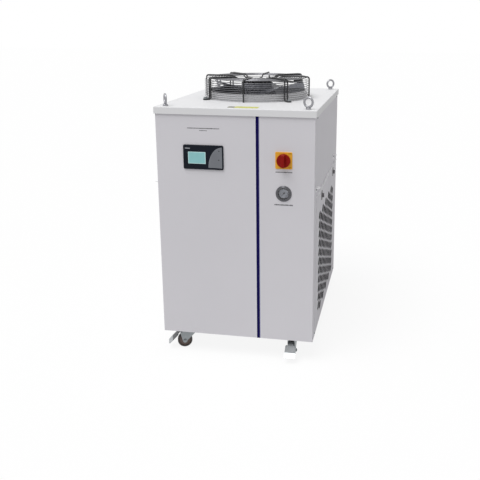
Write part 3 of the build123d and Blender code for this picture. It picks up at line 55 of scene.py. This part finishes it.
SWITCH_X, SWITCH_DROP = 197.5, 196.7
GAUGE_X, GAUGE_DROP = 197.5, 330.0
STRIPE_EDGES = (0.0862, 0.0988)
# Height from which the intake panel's top lip is painted near-white as a painted highlight
LIP_HIGHLIGHT_FOOT = 0.697
# Height above which the black rotor is painted a lighter bluish grey as a painted highlight
ROTOR_HIGHLIGHT_FOOT = TOP + 0.040
TUBE_ENDS = (0.226, 0.484)
WHEEL_R = 0.0315
PEDAL_REACH = 0.0735

# Guard wires, in millimetres
WIRE_R = 1.1
SIDE_RINGS, SIDE_RING_R, SIDE_RING_LOW, SIDE_RING_PITCH = 10, 231.0, 7.0, 8.0
TOP_RINGS, TOP_RING_R, TOP_RING_PITCH, TOP_RING_HEIGHT = 12, 222.0, 10.4, 88.0

# Controller overlay: a quarter of an ellipse about its lower right corner, in millimetres
OVERLAY_X, OVERLAY_DROP = -48.5, 236.8
OVERLAY_WIDE, OVERLAY_TALL = 54.8, 81.4
OVERLAY_STEPS = 28
LAMP_R = 2.0
LAMPS = ((-60.8, 168.8), (-61.9, 204.6))

# Gauge scale, in millimetres and degrees
TICKS, LONG_EVERY = 50, 5
TICK_OUT, TICK_IN_LONG, TICK_IN_SHORT = 17.2, 15.2, 16.2
TICK_HALF_LONG, TICK_HALF_SHORT = 0.2, 0.1
NUMBERS, NUMBER_R, NUMBER_SIZE = 5, 12.2, 0.0042
SCALE_START, SCALE_SWEEP = 225.0, 270.0

# Light: the share and strength of white that the camera and reflections see, and the fill and key
FLOOR_COLOUR = 0.62
FLOOR_SEEN_SHARE = 0.80
FLOOR_GLOW = 1.1
WORLD_FILL = 0.36
WORLD_SEEN = 1.0
KEY_STRENGTH = 1.95
KEY_ANGLE = 0.7
KEY_DIRECTION = Vector((0.22, 0.35, -0.91))

# Camera
YAW, PITCH, ROLL = math.radians(-9.476), math.radians(14.442), math.radians(0.291)
FOCAL_PX = 660.15
PHOTO_PX = 480.0
SENSOR_MM = 36.0
LENS_SHIFT = -0.10
CAMERA_PLACE = Vector((0.6282, LID_FRONT - 2.4729, TOP + 0.3249))


# Materials

def start(name):
    mat = bpy.data.materials.new(name)
    mat.use_nodes = True
    tree = mat.node_tree
    return mat, tree, tree.nodes["Principled BSDF"]


def node(tree, kind, **values):
    made = tree.nodes.new(kind)
    for key, value in values.items():
        setattr(made, key, value)
    return made


def noise(tree, scale, detail=2.0, stretch=(1, 1, 1)):
    coords = node(tree, "ShaderNodeTexCoord")
    mapping = node(tree, "ShaderNodeMapping")
    mapping.inputs["Scale"].default_value = stretch
    tree.links.new(coords.outputs["Object"], mapping.inputs["Vector"])
    tex = node(tree, "ShaderNodeTexNoise")
    tex.inputs["Scale"].default_value = scale
    tex.inputs["Detail"].default_value = detail
    tree.links.new(mapping.outputs["Vector"], tex.inputs["Vector"])
    return tex.outputs["Fac"]


def ramp(tree, factor, stops):
    made = node(tree, "ShaderNodeValToRGB")
    items = made.color_ramp.elements
    while len(items) < len(stops):
        items.new(0.5)
    for item, (place, colour) in zip(items, stops):
        item.position = place
        item.color = (*colour, 1.0)
    tree.links.new(factor, made.inputs["Fac"])
    return made.outputs["Color"]


def spread_roughness(tree, bsdf, rough, spread, scale):
    fit = node(tree, "ShaderNodeMapRange")
    fit.inputs["To Min"].default_value = rough - spread
    fit.inputs["To Max"].default_value = rough + spread
    tree.links.new(noise(tree, scale, 3.0), fit.inputs["Value"])
    tree.links.new(fit.outputs["Result"], bsdf.inputs["Roughness"])


def bump(tree, bsdf, factor, strength, depth):
    made = node(tree, "ShaderNodeBump")
    made.inputs["Strength"].default_value = strength
    made.inputs["Distance"].default_value = depth
    tree.links.new(factor, made.inputs["Height"])
    tree.links.new(made.outputs["Normal"], bsdf.inputs["Normal"])


def surface(name, colour, rough=0.4, metal=0.0, spread=0.04, scale=5.0, grain=700.0,
            strength=0.06, stretch=(1, 1, 1), shine=0.5):
    """A plain finish: a faint cloud of the colour, uneven roughness and a fine grain."""
    mat, tree, bsdf = start(name)
    bsdf.inputs["Specular IOR Level"].default_value = shine
    low = tuple(c * (1 - spread) for c in colour)
    high = tuple(min(1.0, c * (1 + spread)) for c in colour)
    shade = ramp(tree, noise(tree, scale, 4.0, stretch), [(0.3, low), (0.7, high)])
    tree.links.new(shade, bsdf.inputs["Base Color"])
    bsdf.inputs["Metallic"].default_value = metal
    spread_roughness(tree, bsdf, rough, min(0.08, rough * 0.3), scale * 6)
    bump(tree, bsdf, noise(tree, grain, 2.0, stretch), strength, 0.0005)
    return mat


def glass(name, colour, rough, ior=1.45):
    mat, tree, bsdf = start(name)
    bsdf.inputs["Base Color"].default_value = (*colour, 1.0)
    bsdf.inputs["Transmission Weight"].default_value = 1.0
    bsdf.inputs["IOR"].default_value = ior
    spread_roughness(tree, bsdf, rough, rough * 0.5, 40.0)
    return mat


def banded(name, axis, cuts, colours, rough=0.4, metal=0.0, shine=0.5):
    """Colours that change along one axis of the row frame at the places in cuts."""
    mat, tree, bsdf = start(name)
    bsdf.inputs["Specular IOR Level"].default_value = shine
    coords = node(tree, "ShaderNodeTexCoord")
    split = node(tree, "ShaderNodeSeparateXYZ")
    tree.links.new(coords.outputs["Object"], split.inputs[0])
    colour = None
    for index, value in enumerate(colours):
        shade = tuple(c * 0.96 for c in value), tuple(min(1.0, c * 1.04) for c in value)
        patch = ramp(tree, noise(tree, 9.0, 3.0), [(0.3, shade[0]), (0.7, shade[1])])
        if colour is None:
            colour = patch
            continue
        step = node(tree, "ShaderNodeMath", operation="GREATER_THAN")
        step.inputs[1].default_value = cuts[index - 1]
        tree.links.new(split.outputs["XYZ".index(axis)], step.inputs[0])
        mix = node(tree, "ShaderNodeMix", data_type="RGBA")
        tree.links.new(step.outputs[0], mix.inputs["Factor"])
        tree.links.new(colour, mix.inputs["A"])
        tree.links.new(patch, mix.inputs["B"])
        colour = mix.outputs["Result"]
    tree.links.new(colour, bsdf.inputs["Base Color"])
    bsdf.inputs["Metallic"].default_value = metal
    spread_roughness(tree, bsdf, rough, 0.05, 30.0)
    bump(tree, bsdf, noise(tree, 700.0), 0.05, 0.0005)
    return mat


def zoned(name, centre, axis, reach, zones, rough, metal=0.0):
    """Colours by the distance from an axle, as shares of the reach."""
    mat, tree, bsdf = start(name)
    coords = node(tree, "ShaderNodeTexCoord")
    from_hub = node(tree, "ShaderNodeVectorMath", operation="SUBTRACT")
    from_hub.inputs[1].default_value = centre
    tree.links.new(coords.outputs["Object"], from_hub.inputs[0])
    across = node(tree, "ShaderNodeVectorMath", operation="CROSS_PRODUCT")
    across.inputs[1].default_value = axis
    tree.links.new(from_hub.outputs[0], across.inputs[0])
    length = node(tree, "ShaderNodeVectorMath", operation="LENGTH")
    tree.links.new(across.outputs[0], length.inputs[0])
    scaled = node(tree, "ShaderNodeMath", operation="MULTIPLY")
    scaled.inputs[1].default_value = 1.0 / reach
    tree.links.new(length.outputs["Value"], scaled.inputs[0])
    tree.links.new(ramp(tree, scaled.outputs[0], zones), bsdf.inputs["Base Color"])
    bsdf.inputs["Metallic"].default_value = metal
    spread_roughness(tree, bsdf, rough, 0.08, 60.0)
    bump(tree, bsdf, noise(tree, 400.0), 0.12, 0.0005)
    return mat


def woven(name):
    mat, tree, bsdf = start(name)
    coords = node(tree, "ShaderNodeTexCoord")
    waves = []
    for direction in ("Y", "Z"):
        wave = node(tree, "ShaderNodeTexWave", bands_direction=direction)
        wave.inputs["Scale"].default_value = 110.0
        tree.links.new(coords.outputs["Object"], wave.inputs["Vector"])
        waves.append(wave.outputs["Fac"])
    both = node(tree, "ShaderNodeMath", operation="MULTIPLY")
    tree.links.new(waves[0], both.inputs[0])
    tree.links.new(waves[1], both.inputs[1])
    tree.links.new(ramp(tree, both.outputs[0], [(0.05, (0.022, 0.02, 0.022)), (0.6, (0.004, 0.004, 0.005))]),
                   bsdf.inputs["Base Color"])
    bsdf.inputs["Specular IOR Level"].default_value = 0.1
    bsdf.inputs["Roughness"].default_value = 0.9
    bump(tree, bsdf, both.outputs[0], 0.5, 0.001)
    return mat


def fins_with_painted_gap_shade(name):
    mat, tree, bsdf = start(name)
    coords = node(tree, "ShaderNodeTexCoord")
    wave = node(tree, "ShaderNodeTexWave", bands_direction="Y")
    wave.inputs["Scale"].default_value = 150.0
    tree.links.new(coords.outputs["Object"], wave.inputs["Vector"])
    # Light bands are the aluminium fins; dark bands are painted shade in the gaps between them
    tree.links.new(ramp(tree, wave.outputs["Fac"], [(0.1, (0.05, 0.05, 0.055)), (0.7, (0.55, 0.56, 0.58))]),
                   bsdf.inputs["Base Color"])
    bsdf.inputs["Metallic"].default_value = 0.8
    bsdf.inputs["Roughness"].default_value = 0.45
    bump(tree, bsdf, wave.outputs["Fac"], 0.6, 0.001)
    return mat


def lit(name, colour, glow):
    mat, tree, bsdf = start(name)
    low = tuple(c * 0.94 for c in colour)
    shade = ramp(tree, noise(tree, 35.0, 1.0), [(0.3, low), (0.7, colour)])
    tree.links.new(shade, bsdf.inputs["Base Color"])
    tree.links.new(shade, bsdf.inputs["Emission Color"])
    bsdf.inputs["Emission Strength"].default_value = glow
    bsdf.inputs["Roughness"].default_value = 0.25
    return mat


PAINT = surface("cabinet_paint", (0.785, 0.77, 0.81), rough=0.6, spread=0.015, scale=2.2, grain=900,
                strength=0.05, shine=0.15)
LID = surface("lid_paint", (0.87, 0.87, 0.885), rough=0.55, spread=0.015, scale=2.2, grain=900,
              strength=0.05, shine=0.2)
STRIPE = banded("stripe", "X", STRIPE_EDGES,
                ((0.80, 0.80, 0.86), (0.005, 0.003, 0.075), (0.52, 0.52, 0.72)), rough=0.6, shine=0.08)
# Intake panel paint; above the lip's foot height the lip is painted near-white, a painted highlight of light
# from above
INTAKE_PAINT_LIP_PAINTED_HIGHLIGHT = banded("intake_paint_lip_painted_highlight", "Z", (LIP_HIGHLIGHT_FOOT,), ((0.785, 0.77, 0.81), (0.95, 0.95, 0.96)),
                rough=0.6, shine=0.15)
FRAME = surface("frame_paint", (0.45, 0.46, 0.47), rough=0.5)
GALV = surface("galvanised", (0.5, 0.51, 0.52), rough=0.45, metal=0.8, spread=0.14, scale=26)
ZINC = surface("zinc", (0.27, 0.29, 0.30), rough=0.38, metal=0.9, spread=0.12, scale=30, grain=500)
EYE = surface("eye_zinc", (0.34, 0.34, 0.36), rough=0.3, metal=0.9, spread=0.12, scale=40, grain=400)
# Side hooks painted near-white: painted highlight of their tops lit from above
HOOK_PAINTED_HIGHLIGHT = surface("hook_painted_highlight", (0.93, 0.93, 0.94), rough=0.4, spread=0.02, scale=50)
# Ring wire grey: partly the wires' own dark metal, partly painted highlight of the sheen along them
WIRE_FINISH_AND_PAINTED_SHEEN = surface("guard_wire", (0.20, 0.20, 0.215), rough=0.25, metal=0.5, spread=0.1, scale=20)
ARM = surface("guard_arm", (0.010, 0.010, 0.012), rough=0.35, spread=0.1, scale=20)
COLLAR = surface("collar_paint", (0.84, 0.84, 0.85), rough=0.4, spread=0.03, scale=8)
FAN_BLACK = surface("fan_black", (0.022, 0.022, 0.026), rough=0.42, spread=0.12, scale=12)
# Rotor: black below the band height; above it a lighter bluish grey that is painted highlight of the blades'
# sheen
ROTOR_WITH_PAINTED_HIGHLIGHT = banded("rotor_paint_with_painted_highlight", "Z", (ROTOR_HIGHLIGHT_FOOT,), ((0.016, 0.018, 0.026), (0.15, 0.155, 0.18)),
               rough=0.22, metal=0.3, shine=0.3)
LATCH = surface("latch_grey", (0.20, 0.19, 0.20), rough=0.45, spread=0.1, scale=30)
BLACK = surface("black_plastic", (0.03, 0.03, 0.034), rough=0.5, spread=0.1, scale=30, grain=1500,
                strength=0.1)
PANEL_BLACK = surface("controller_black", (0.006, 0.009, 0.016), rough=0.3, spread=0.15, scale=18,
                      strength=0.02, shine=0.12)
YELLOW = surface("switch_yellow", (0.92, 0.46, 0.04), rough=0.45, spread=0.05, scale=40, shine=0.2)
RED = surface("switch_red", (0.30, 0.008, 0.005), rough=0.4, spread=0.1, scale=30, shine=0.12)
GAUGE = surface("gauge_enamel", (0.10, 0.10, 0.11), rough=0.2, metal=0.6, spread=0.15, scale=60)
DIAL = surface("dial_face", (0.42, 0.42, 0.46), rough=0.6, spread=0.03, scale=40, shine=0.1)
INK = surface("ink", (0.008, 0.008, 0.01), rough=0.7, spread=0.1, scale=90, shine=0.05)
PRINT = surface("print_grey", (0.11, 0.11, 0.12), rough=0.6, spread=0.25, scale=700)
OVERLAY = surface("overlay_grey", (0.19, 0.20, 0.225), rough=0.5, spread=0.05, scale=25)
EDGE = surface("overlay_edge", (0.36, 0.38, 0.41), rough=0.35, spread=0.05, scale=40)
CLEAR = glass("clear_glass", (0.96, 0.98, 1.0), 0.03)
TUBE = banded("level_tube", "Z", TUBE_ENDS, ((0.62, 0.62, 0.6), (0.55, 0.62, 0.64), (0.62, 0.62, 0.6)),
              rough=0.2)
# Condenser coil: fin colour with painted shade in the gaps between fins
COIL_FINS_AND_PAINTED_SHADE = fins_with_painted_gap_shade("coil")
WEAVE = woven("dust_weave")
HERMETIC = surface("compressor_black", (0.02, 0.02, 0.021), rough=0.35, spread=0.1, scale=9)
STAINLESS = surface("tank_steel", (0.6, 0.61, 0.62), rough=0.3, metal=1.0, scale=6, stretch=(1, 1, 18))
PUMP = surface("pump_enamel", (0.04, 0.09, 0.2), rough=0.4, spread=0.08, scale=16)
COPPER = surface("copper", (0.62, 0.28, 0.16), rough=0.3, metal=1.0, spread=0.12, scale=24)
HOSE = surface("hose_rubber", (0.02, 0.02, 0.02), rough=0.7, scale=60, strength=0.2)
BRASS = surface("port_brass", (0.62, 0.5, 0.28), rough=0.28, metal=1.0, spread=0.08, scale=50)
STICKER = surface("sticker", (0.66, 0.66, 0.16), rough=0.45, spread=0.05, scale=30)
LCD = lit("display", (0.25, 0.53, 0.54), 0.18)
LCD_RIM = lit("display_rim", (0.50, 0.72, 0.72), 0.2)
STICKER_END = surface("sticker_end", (0.16, 0.16, 0.09), rough=0.5, spread=0.2, scale=60)

FINISH = {
    "base_pan": GALV, "frame": FRAME, "front_panel_left": PAINT, "front_panel_right": PAINT,
    "stripe_trim": STRIPE, "side_panel_right": PAINT, "intake_panel": INTAKE_PAINT_LIP_PAINTED_HIGHLIGHT, "side_panel_left": PAINT,
    "service_panel": PAINT, "rear_panel": PAINT, "top_cover": LID, "side_hooks": HOOK_PAINTED_HIGHLIGHT,
    "latch_bezels": LATCH, "latch_front": LATCH, "latch_rear": LATCH, "venturi_ring": COLLAR,
    "fan_guard_rings": WIRE_FINISH_AND_PAINTED_SHEEN, "fan_guard_arms": ARM, "fan_bolts": ZINC, "fan_motor": FAN_BLACK,
    "fan_rotor": ROTOR_WITH_PAINTED_HIGHLIGHT, "fan_cable_box": BLACK, "controller_housing": PANEL_BLACK,
    "controller_screen": LCD_RIM, "switch_plate": YELLOW, "switch_knob": RED, "switch_body": BLACK,
    "gauge_case": GAUGE, "gauge_dial": DIAL, "gauge_needle": INK, "gauge_lens": CLEAR,
    "condenser_coil": COIL_FINS_AND_PAINTED_SHADE, "dust_screen": WEAVE, "compressor": HERMETIC, "water_tank": STAINLESS,
    "water_pump": PUMP, "refrigerant_pipes": COPPER, "water_hoses": HOSE, "electrical_box": GALV,
    "water_ports": BRASS, "fill_cap": BLACK, "drain_valve": BRASS, "drain_handle": RED,
    "level_gauge": TUBE, "cable_gland": BLACK, "lifting_eyes": EYE, "panel_screws": ZINC,
    "caster_plates": ZINC, "caster_fork_left": ZINC, "caster_fork_right": ZINC,
    "front_axle_left": ZINC, "front_axle_right": ZINC, "rear_axles": ZINC,
    "rear_caster_brackets": ZINC,
}
WHEEL_ZONES = [(0.0, (0.42, 0.42, 0.43)), (0.27, (0.42, 0.42, 0.43)), (0.29, (0.17, 0.12, 0.105)),
               (0.77, (0.15, 0.105, 0.09)), (0.79, (0.045, 0.038, 0.036)), (1.0, (0.06, 0.05, 0.048))]
PEDAL_ZONES = [(0.0, (0.10, 0.105, 0.11)), (0.66, (0.13, 0.135, 0.14)), (0.69, (0.50, 0.52, 0.53)),
               (1.0, (0.50, 0.52, 0.53))]


def dress(name, mat):
    mesh = NODES[name].data
    mesh.materials.clear()
    mesh.materials.append(mat)


def finish_nodes():
    for name, mat in FINISH.items():
        dress(name, mat)
    for joint in frame["joints"]:
        words = joint["name"].split("_")
        if joint["name"].endswith("wheel_roll"):
            name = f"wheel_{words[0]}_{words[1]}"
            dress(name, zoned(name, joint["pos_m"], joint["axis"], WHEEL_R, WHEEL_ZONES, 0.5))
        elif joint["name"].endswith("brake_press"):
            name = f"brake_pedal_{words[0]}"
            dress(name, zoned(name, joint["pos_m"], joint["axis"], PEDAL_REACH, PEDAL_ZONES,
                              0.45, 0.75))


# Shapes

def piece(name, bm, mat, body="cabinet", smooth=False):
    bmesh.ops.recalc_face_normals(bm, faces=bm.faces)
    mesh = bpy.data.meshes.new(name)
    for face in bm.faces:
        face.smooth = smooth
    bm.to_mesh(mesh)
    bm.free()
    obj = bpy.data.objects.new(name, mesh)
    bpy.context.scene.collection.objects.link(obj)
    mesh.materials.append(mat)
    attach(obj, body)
    return obj


def add_box(bm, low, high):
    centre = [(a + b) / 2 for a, b in zip(low, high)]
    size = [b - a for a, b in zip(low, high)]
    matrix = Matrix.Translation(centre) @ Matrix.Diagonal((*size, 1.0))
    bmesh.ops.create_cube(bm, size=1.0, matrix=matrix)


def add_ring(bm, radius, wire, height, steps=120, sides=10):
    """Wire ring round the fan's axis."""
    rows = []
    for i in range(steps):
        a = 2 * math.pi * i / steps
        row = []
        for j in range(sides):
            b = 2 * math.pi * j / sides
            r = radius + wire * math.cos(b)
            row.append(bm.verts.new((FAN.x + r * math.cos(a), FAN.y + r * math.sin(a),
                                     FAN.z + height + wire * math.sin(b))))
        rows.append(row)
    for i in range(steps):
        for j in range(sides):
            bm.faces.new((rows[i][j], rows[(i + 1) % steps][j],
                          rows[(i + 1) % steps][(j + 1) % sides], rows[i][(j + 1) % sides]))


def front_plate(name, x0, x1, drop0, drop1, y, thick, mat):
    """Flat bar on a front face, in millimetres across and down from the lid."""
    bm = bmesh.new()
    add_box(bm, (x0 * MM, y - thick, TOP - drop1 * MM), (x1 * MM, y, TOP - drop0 * MM))
    return piece(name, bm, mat)


def outline_plate(name, points, y, thick, mat):
    """Flat plate on a front face with a given outline, in millimetres across and down."""
    bm = bmesh.new()
    near = [bm.verts.new((x * MM, y - thick, TOP - d * MM)) for x, d in points]
    far = [bm.verts.new((x * MM, y, TOP - d * MM)) for x, d in points]
    bm.faces.new(near)
    bm.faces.new(list(reversed(far)))
    for i in range(len(points)):
        j = (i + 1) % len(points)
        bm.faces.new((near[i], near[j], far[j], far[i]))
    return piece(name, bm, mat)


def dashes(name, x0, x1, drop, height, mat=PRINT):
    """A row of short generic strokes of uneven length."""
    bm = bmesh.new()
    x = x0
    while x < x1 - 1.0:
        width = min(random.uniform(2.2, 5.5), x1 - x)
        tall = height * random.uniform(0.72, 1.0)
        add_box(bm, (x * MM, FRONT - 0.00025, TOP - (drop + tall / 2) * MM),
                ((x + width) * MM, FRONT + 0.0002, TOP - (drop - tall / 2) * MM))
        x += width + random.uniform(0.5, 1.1)
    return piece(name, bm, mat)


def label(name, words, place, size, mat, angle=0.0):
    curve = bpy.data.curves.new(name, "FONT")
    curve.body = words
    curve.size = size
    curve.align_x = "CENTER"
    curve.align_y = "CENTER"
    curve.extrude = 0.00012
    obj = bpy.data.objects.new(name, curve)
    bpy.context.scene.collection.objects.link(obj)
    obj.matrix_world = (Matrix.Translation(place) @ Matrix.Rotation(math.pi / 2, 4, "X")
                        @ Matrix.Rotation(angle, 4, "Z"))
    curve.materials.append(mat)
    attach(obj, "cabinet")
    return obj


def make_guard():
    bm = bmesh.new()
    for n in range(SIDE_RINGS):
        add_ring(bm, SIDE_RING_R * MM, WIRE_R * MM, (SIDE_RING_LOW + SIDE_RING_PITCH * n) * MM)
    for n in range(TOP_RINGS):
        add_ring(bm, (TOP_RING_R - TOP_RING_PITCH * n) * MM, WIRE_R * MM, TOP_RING_HEIGHT * MM)
    guard = piece("guard_wires", bm, WIRE_FINISH_AND_PAINTED_SHEEN, smooth=True)
    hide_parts("fan_guard_rings")


def make_controller():
    turns = [math.pi / 2 * i / OVERLAY_STEPS for i in range(OVERLAY_STEPS + 1)]
    arc = [(OVERLAY_X - OVERLAY_WIDE * math.cos(a), OVERLAY_DROP - OVERLAY_TALL * math.sin(a)) for a in turns]
    rim = [(OVERLAY_X, OVERLAY_DROP + 0.8)] + [(x - 0.9, drop - 0.7) for x, drop in arc]
    seat = CONTROLLER_FACE + 0.0002
    outline_plate("controller_overlay_edge", rim, seat, 0.0003, EDGE)
    outline_plate("controller_overlay", [(OVERLAY_X, OVERLAY_DROP)] + arc, seat, 0.0004, OVERLAY)
    for index, (x, drop) in enumerate(LAMPS):
        circle = [(x + LAMP_R * math.cos(a), drop + LAMP_R * math.sin(a))
                  for a in [2 * math.pi * i / 20 for i in range(20)]]
        outline_plate(f"controller_lamp_{index + 1}", circle, seat, 0.0006, INK)
    front_plate("controller_mark", -199.7, -178.7, 158.6, 162.4, seat, 0.0004, EDGE)
    front_plate("display_glass", -184.6, -118.8, 176.8, 219.4, CONTROLLER_FACE, 0.0002, LCD)


def make_prints():
    dashes("heading_line", -189.4, -59.0, 80.6, 3.6)
    dashes("heading_short_line", -139.6, -108.1, 89.3, 2.8)
    dashes("switch_line", 164.9, 231.1, 243.7, 4.2)
    dashes("gauge_line", 160.4, 234.3, 376.0, 5.0)


def make_switch_marks():
    x, z = SWITCH_X * MM, TOP - SWITCH_DROP * MM
    y = SWITCH_FACE + 0.0001
    label("switch_off_mark", "0", (x, y, z - 0.0301), 0.0065, INK)
    label("switch_on_mark", "I", (x - 0.0301, y, z), 0.0065, INK)
    label("switch_word_on", "ON", (x + 0.0245, y, z + 0.0275), 0.0075, INK)
    label("switch_word_off", "OFF", (x + 0.0245, y, z - 0.0275), 0.0065, INK)


def make_ticks():
    bm = bmesh.new()
    for n in range(TICKS + 1):
        a = math.radians(SCALE_START - SCALE_SWEEP * n / TICKS)
        is_long = n % LONG_EVERY == 0
        inner = TICK_IN_LONG if is_long else TICK_IN_SHORT
        half = TICK_HALF_LONG if is_long else TICK_HALF_SHORT
        ux, uz = math.cos(a), math.sin(a)
        verts = []
        for y in (DIAL_FACE - 0.00015, DIAL_FACE + 0.0001):
            for r, s in ((inner, -half), (TICK_OUT, -half), (TICK_OUT, half), (inner, half)):
                across = GAUGE_X + r * ux - s * uz
                drop = GAUGE_DROP - r * uz - s * ux
                verts.append(bm.verts.new((across * MM, y, TOP - drop * MM)))
        for quad in ((0, 1, 2, 3), (4, 5, 6, 7), (0, 1, 5, 4), (1, 2, 6, 5), (2, 3, 7, 6), (3, 0, 4, 7)):
            bm.faces.new([verts[i] for i in quad])
    piece("dial_ticks", bm, INK)


def make_dial():
    make_ticks()
    for n in range(NUMBERS + 1):
        a = math.radians(SCALE_START - SCALE_SWEEP * n / NUMBERS)
        across = GAUGE_X + NUMBER_R * math.cos(a)
        drop = GAUGE_DROP - NUMBER_R * math.sin(a)
        place = (across * MM, DIAL_FACE - 0.00005, TOP - drop * MM)
        label(f"dial_number_{n}", str(2 * n), place, NUMBER_SIZE, INK)


def make_sticker():
    bm = bmesh.new()
    add_box(bm, (-0.006, LID_FRONT + 0.028, TOP - 0.0001), (0.088, LID_FRONT + 0.075, TOP + 0.0003))
    piece("lid_label", bm, STICKER)
    bm = bmesh.new()
    add_box(bm, (-0.034, LID_FRONT + 0.034, TOP - 0.0001), (-0.006, LID_FRONT + 0.066, TOP + 0.0003))
    piece("lid_label_end", bm, STICKER_END)


def make_all():
    finish_nodes()
    make_guard()
    make_controller()
    make_prints()
    make_switch_marks()
    make_dial()
    make_sticker()


# Floor, light and camera

def seen_rays(tree):
    """1 for what the camera sees directly, in a reflection or through glass."""
    path = node(tree, "ShaderNodeLightPath")
    seen = path.outputs["Is Camera Ray"]
    for ray in ("Is Glossy Ray", "Is Transmission Ray"):
        both = node(tree, "ShaderNodeMath", operation="MAXIMUM")
        tree.links.new(seen, both.inputs[0])
        tree.links.new(path.outputs[ray], both.inputs[1])
        seen = both.outputs[0]
    return seen


def floor_material():
    mat = bpy.data.materials.new("floor_white")
    mat.use_nodes = True
    tree = mat.node_tree
    tree.nodes.remove(tree.nodes["Principled BSDF"])
    diffuse = node(tree, "ShaderNodeBsdfDiffuse")
    diffuse.inputs["Color"].default_value = (FLOOR_COLOUR, FLOOR_COLOUR, FLOOR_COLOUR, 1)
    glow = node(tree, "ShaderNodeEmission")
    glow.inputs["Color"].default_value = (1, 1, 1, 1)
    glow.inputs["Strength"].default_value = FLOOR_GLOW
    share = node(tree, "ShaderNodeMath", operation="MULTIPLY")
    share.inputs[1].default_value = FLOOR_SEEN_SHARE
    tree.links.new(seen_rays(tree), share.inputs[0])
    mix = node(tree, "ShaderNodeMixShader")
    tree.links.new(share.outputs[0], mix.inputs[0])
    tree.links.new(diffuse.outputs[0], mix.inputs[1])
    tree.links.new(glow.outputs[0], mix.inputs[2])
    tree.links.new(mix.outputs[0], tree.nodes["Material Output"].inputs["Surface"])
    return mat


def make_floor():
    mesh = bpy.data.meshes.new("floor")
    mesh.from_pydata([(-30, -30, 0), (30, -30, 0), (30, 30, 0), (-30, 30, 0)], [], [(0, 1, 2, 3)])
    floor = bpy.data.objects.new("floor", mesh)
    bpy.context.scene.collection.objects.link(floor)
    mesh.materials.append(floor_material())


def make_world():
    world = bpy.data.worlds.new("world")
    bpy.context.scene.world = world
    world.use_nodes = True
    tree = world.node_tree
    back = tree.nodes["Background"]
    back.inputs["Color"].default_value = (1, 1, 1, 1)
    strength = node(tree, "ShaderNodeMapRange")
    strength.inputs["To Min"].default_value = WORLD_FILL
    strength.inputs["To Max"].default_value = WORLD_SEEN
    tree.links.new(seen_rays(tree), strength.inputs["Value"])
    tree.links.new(strength.outputs["Result"], back.inputs["Strength"])


def make_key_light():
    sun = bpy.data.lights.new("key", "SUN")
    sun.energy = KEY_STRENGTH
    sun.angle = KEY_ANGLE
    lamp = bpy.data.objects.new("key", sun)
    bpy.context.scene.collection.objects.link(lamp)
    lamp.rotation_euler = KEY_DIRECTION.to_track_quat("-Z", "Y").to_euler()


def make_camera():
    forward = Vector((math.sin(YAW) * math.cos(PITCH), math.cos(YAW) * math.cos(PITCH), -math.sin(PITCH)))
    right = Vector((math.cos(YAW), -math.sin(YAW), 0.0))
    up = right.cross(forward)
    turned = right * math.cos(ROLL) + up * math.sin(ROLL)
    raised = up * math.cos(ROLL) - right * math.sin(ROLL)
    data = bpy.data.cameras.new("camera")
    data.sensor_width = SENSOR_MM
    data.lens = SENSOR_MM * FOCAL_PX / PHOTO_PX
    data.shift_x = LENS_SHIFT
    data.shift_y = LENS_SHIFT
    camera = bpy.data.objects.new("camera", data)
    bpy.context.scene.collection.objects.link(camera)
    matrix = Matrix((turned, raised, -forward)).transposed().to_4x4()
    matrix.translation = CAMERA_PLACE
    camera.matrix_world = matrix
    bpy.context.scene.camera = camera
    bpy.context.scene.view_settings.view_transform = "Standard"


make_all()
make_floor()
make_world()
make_key_light()
make_camera()
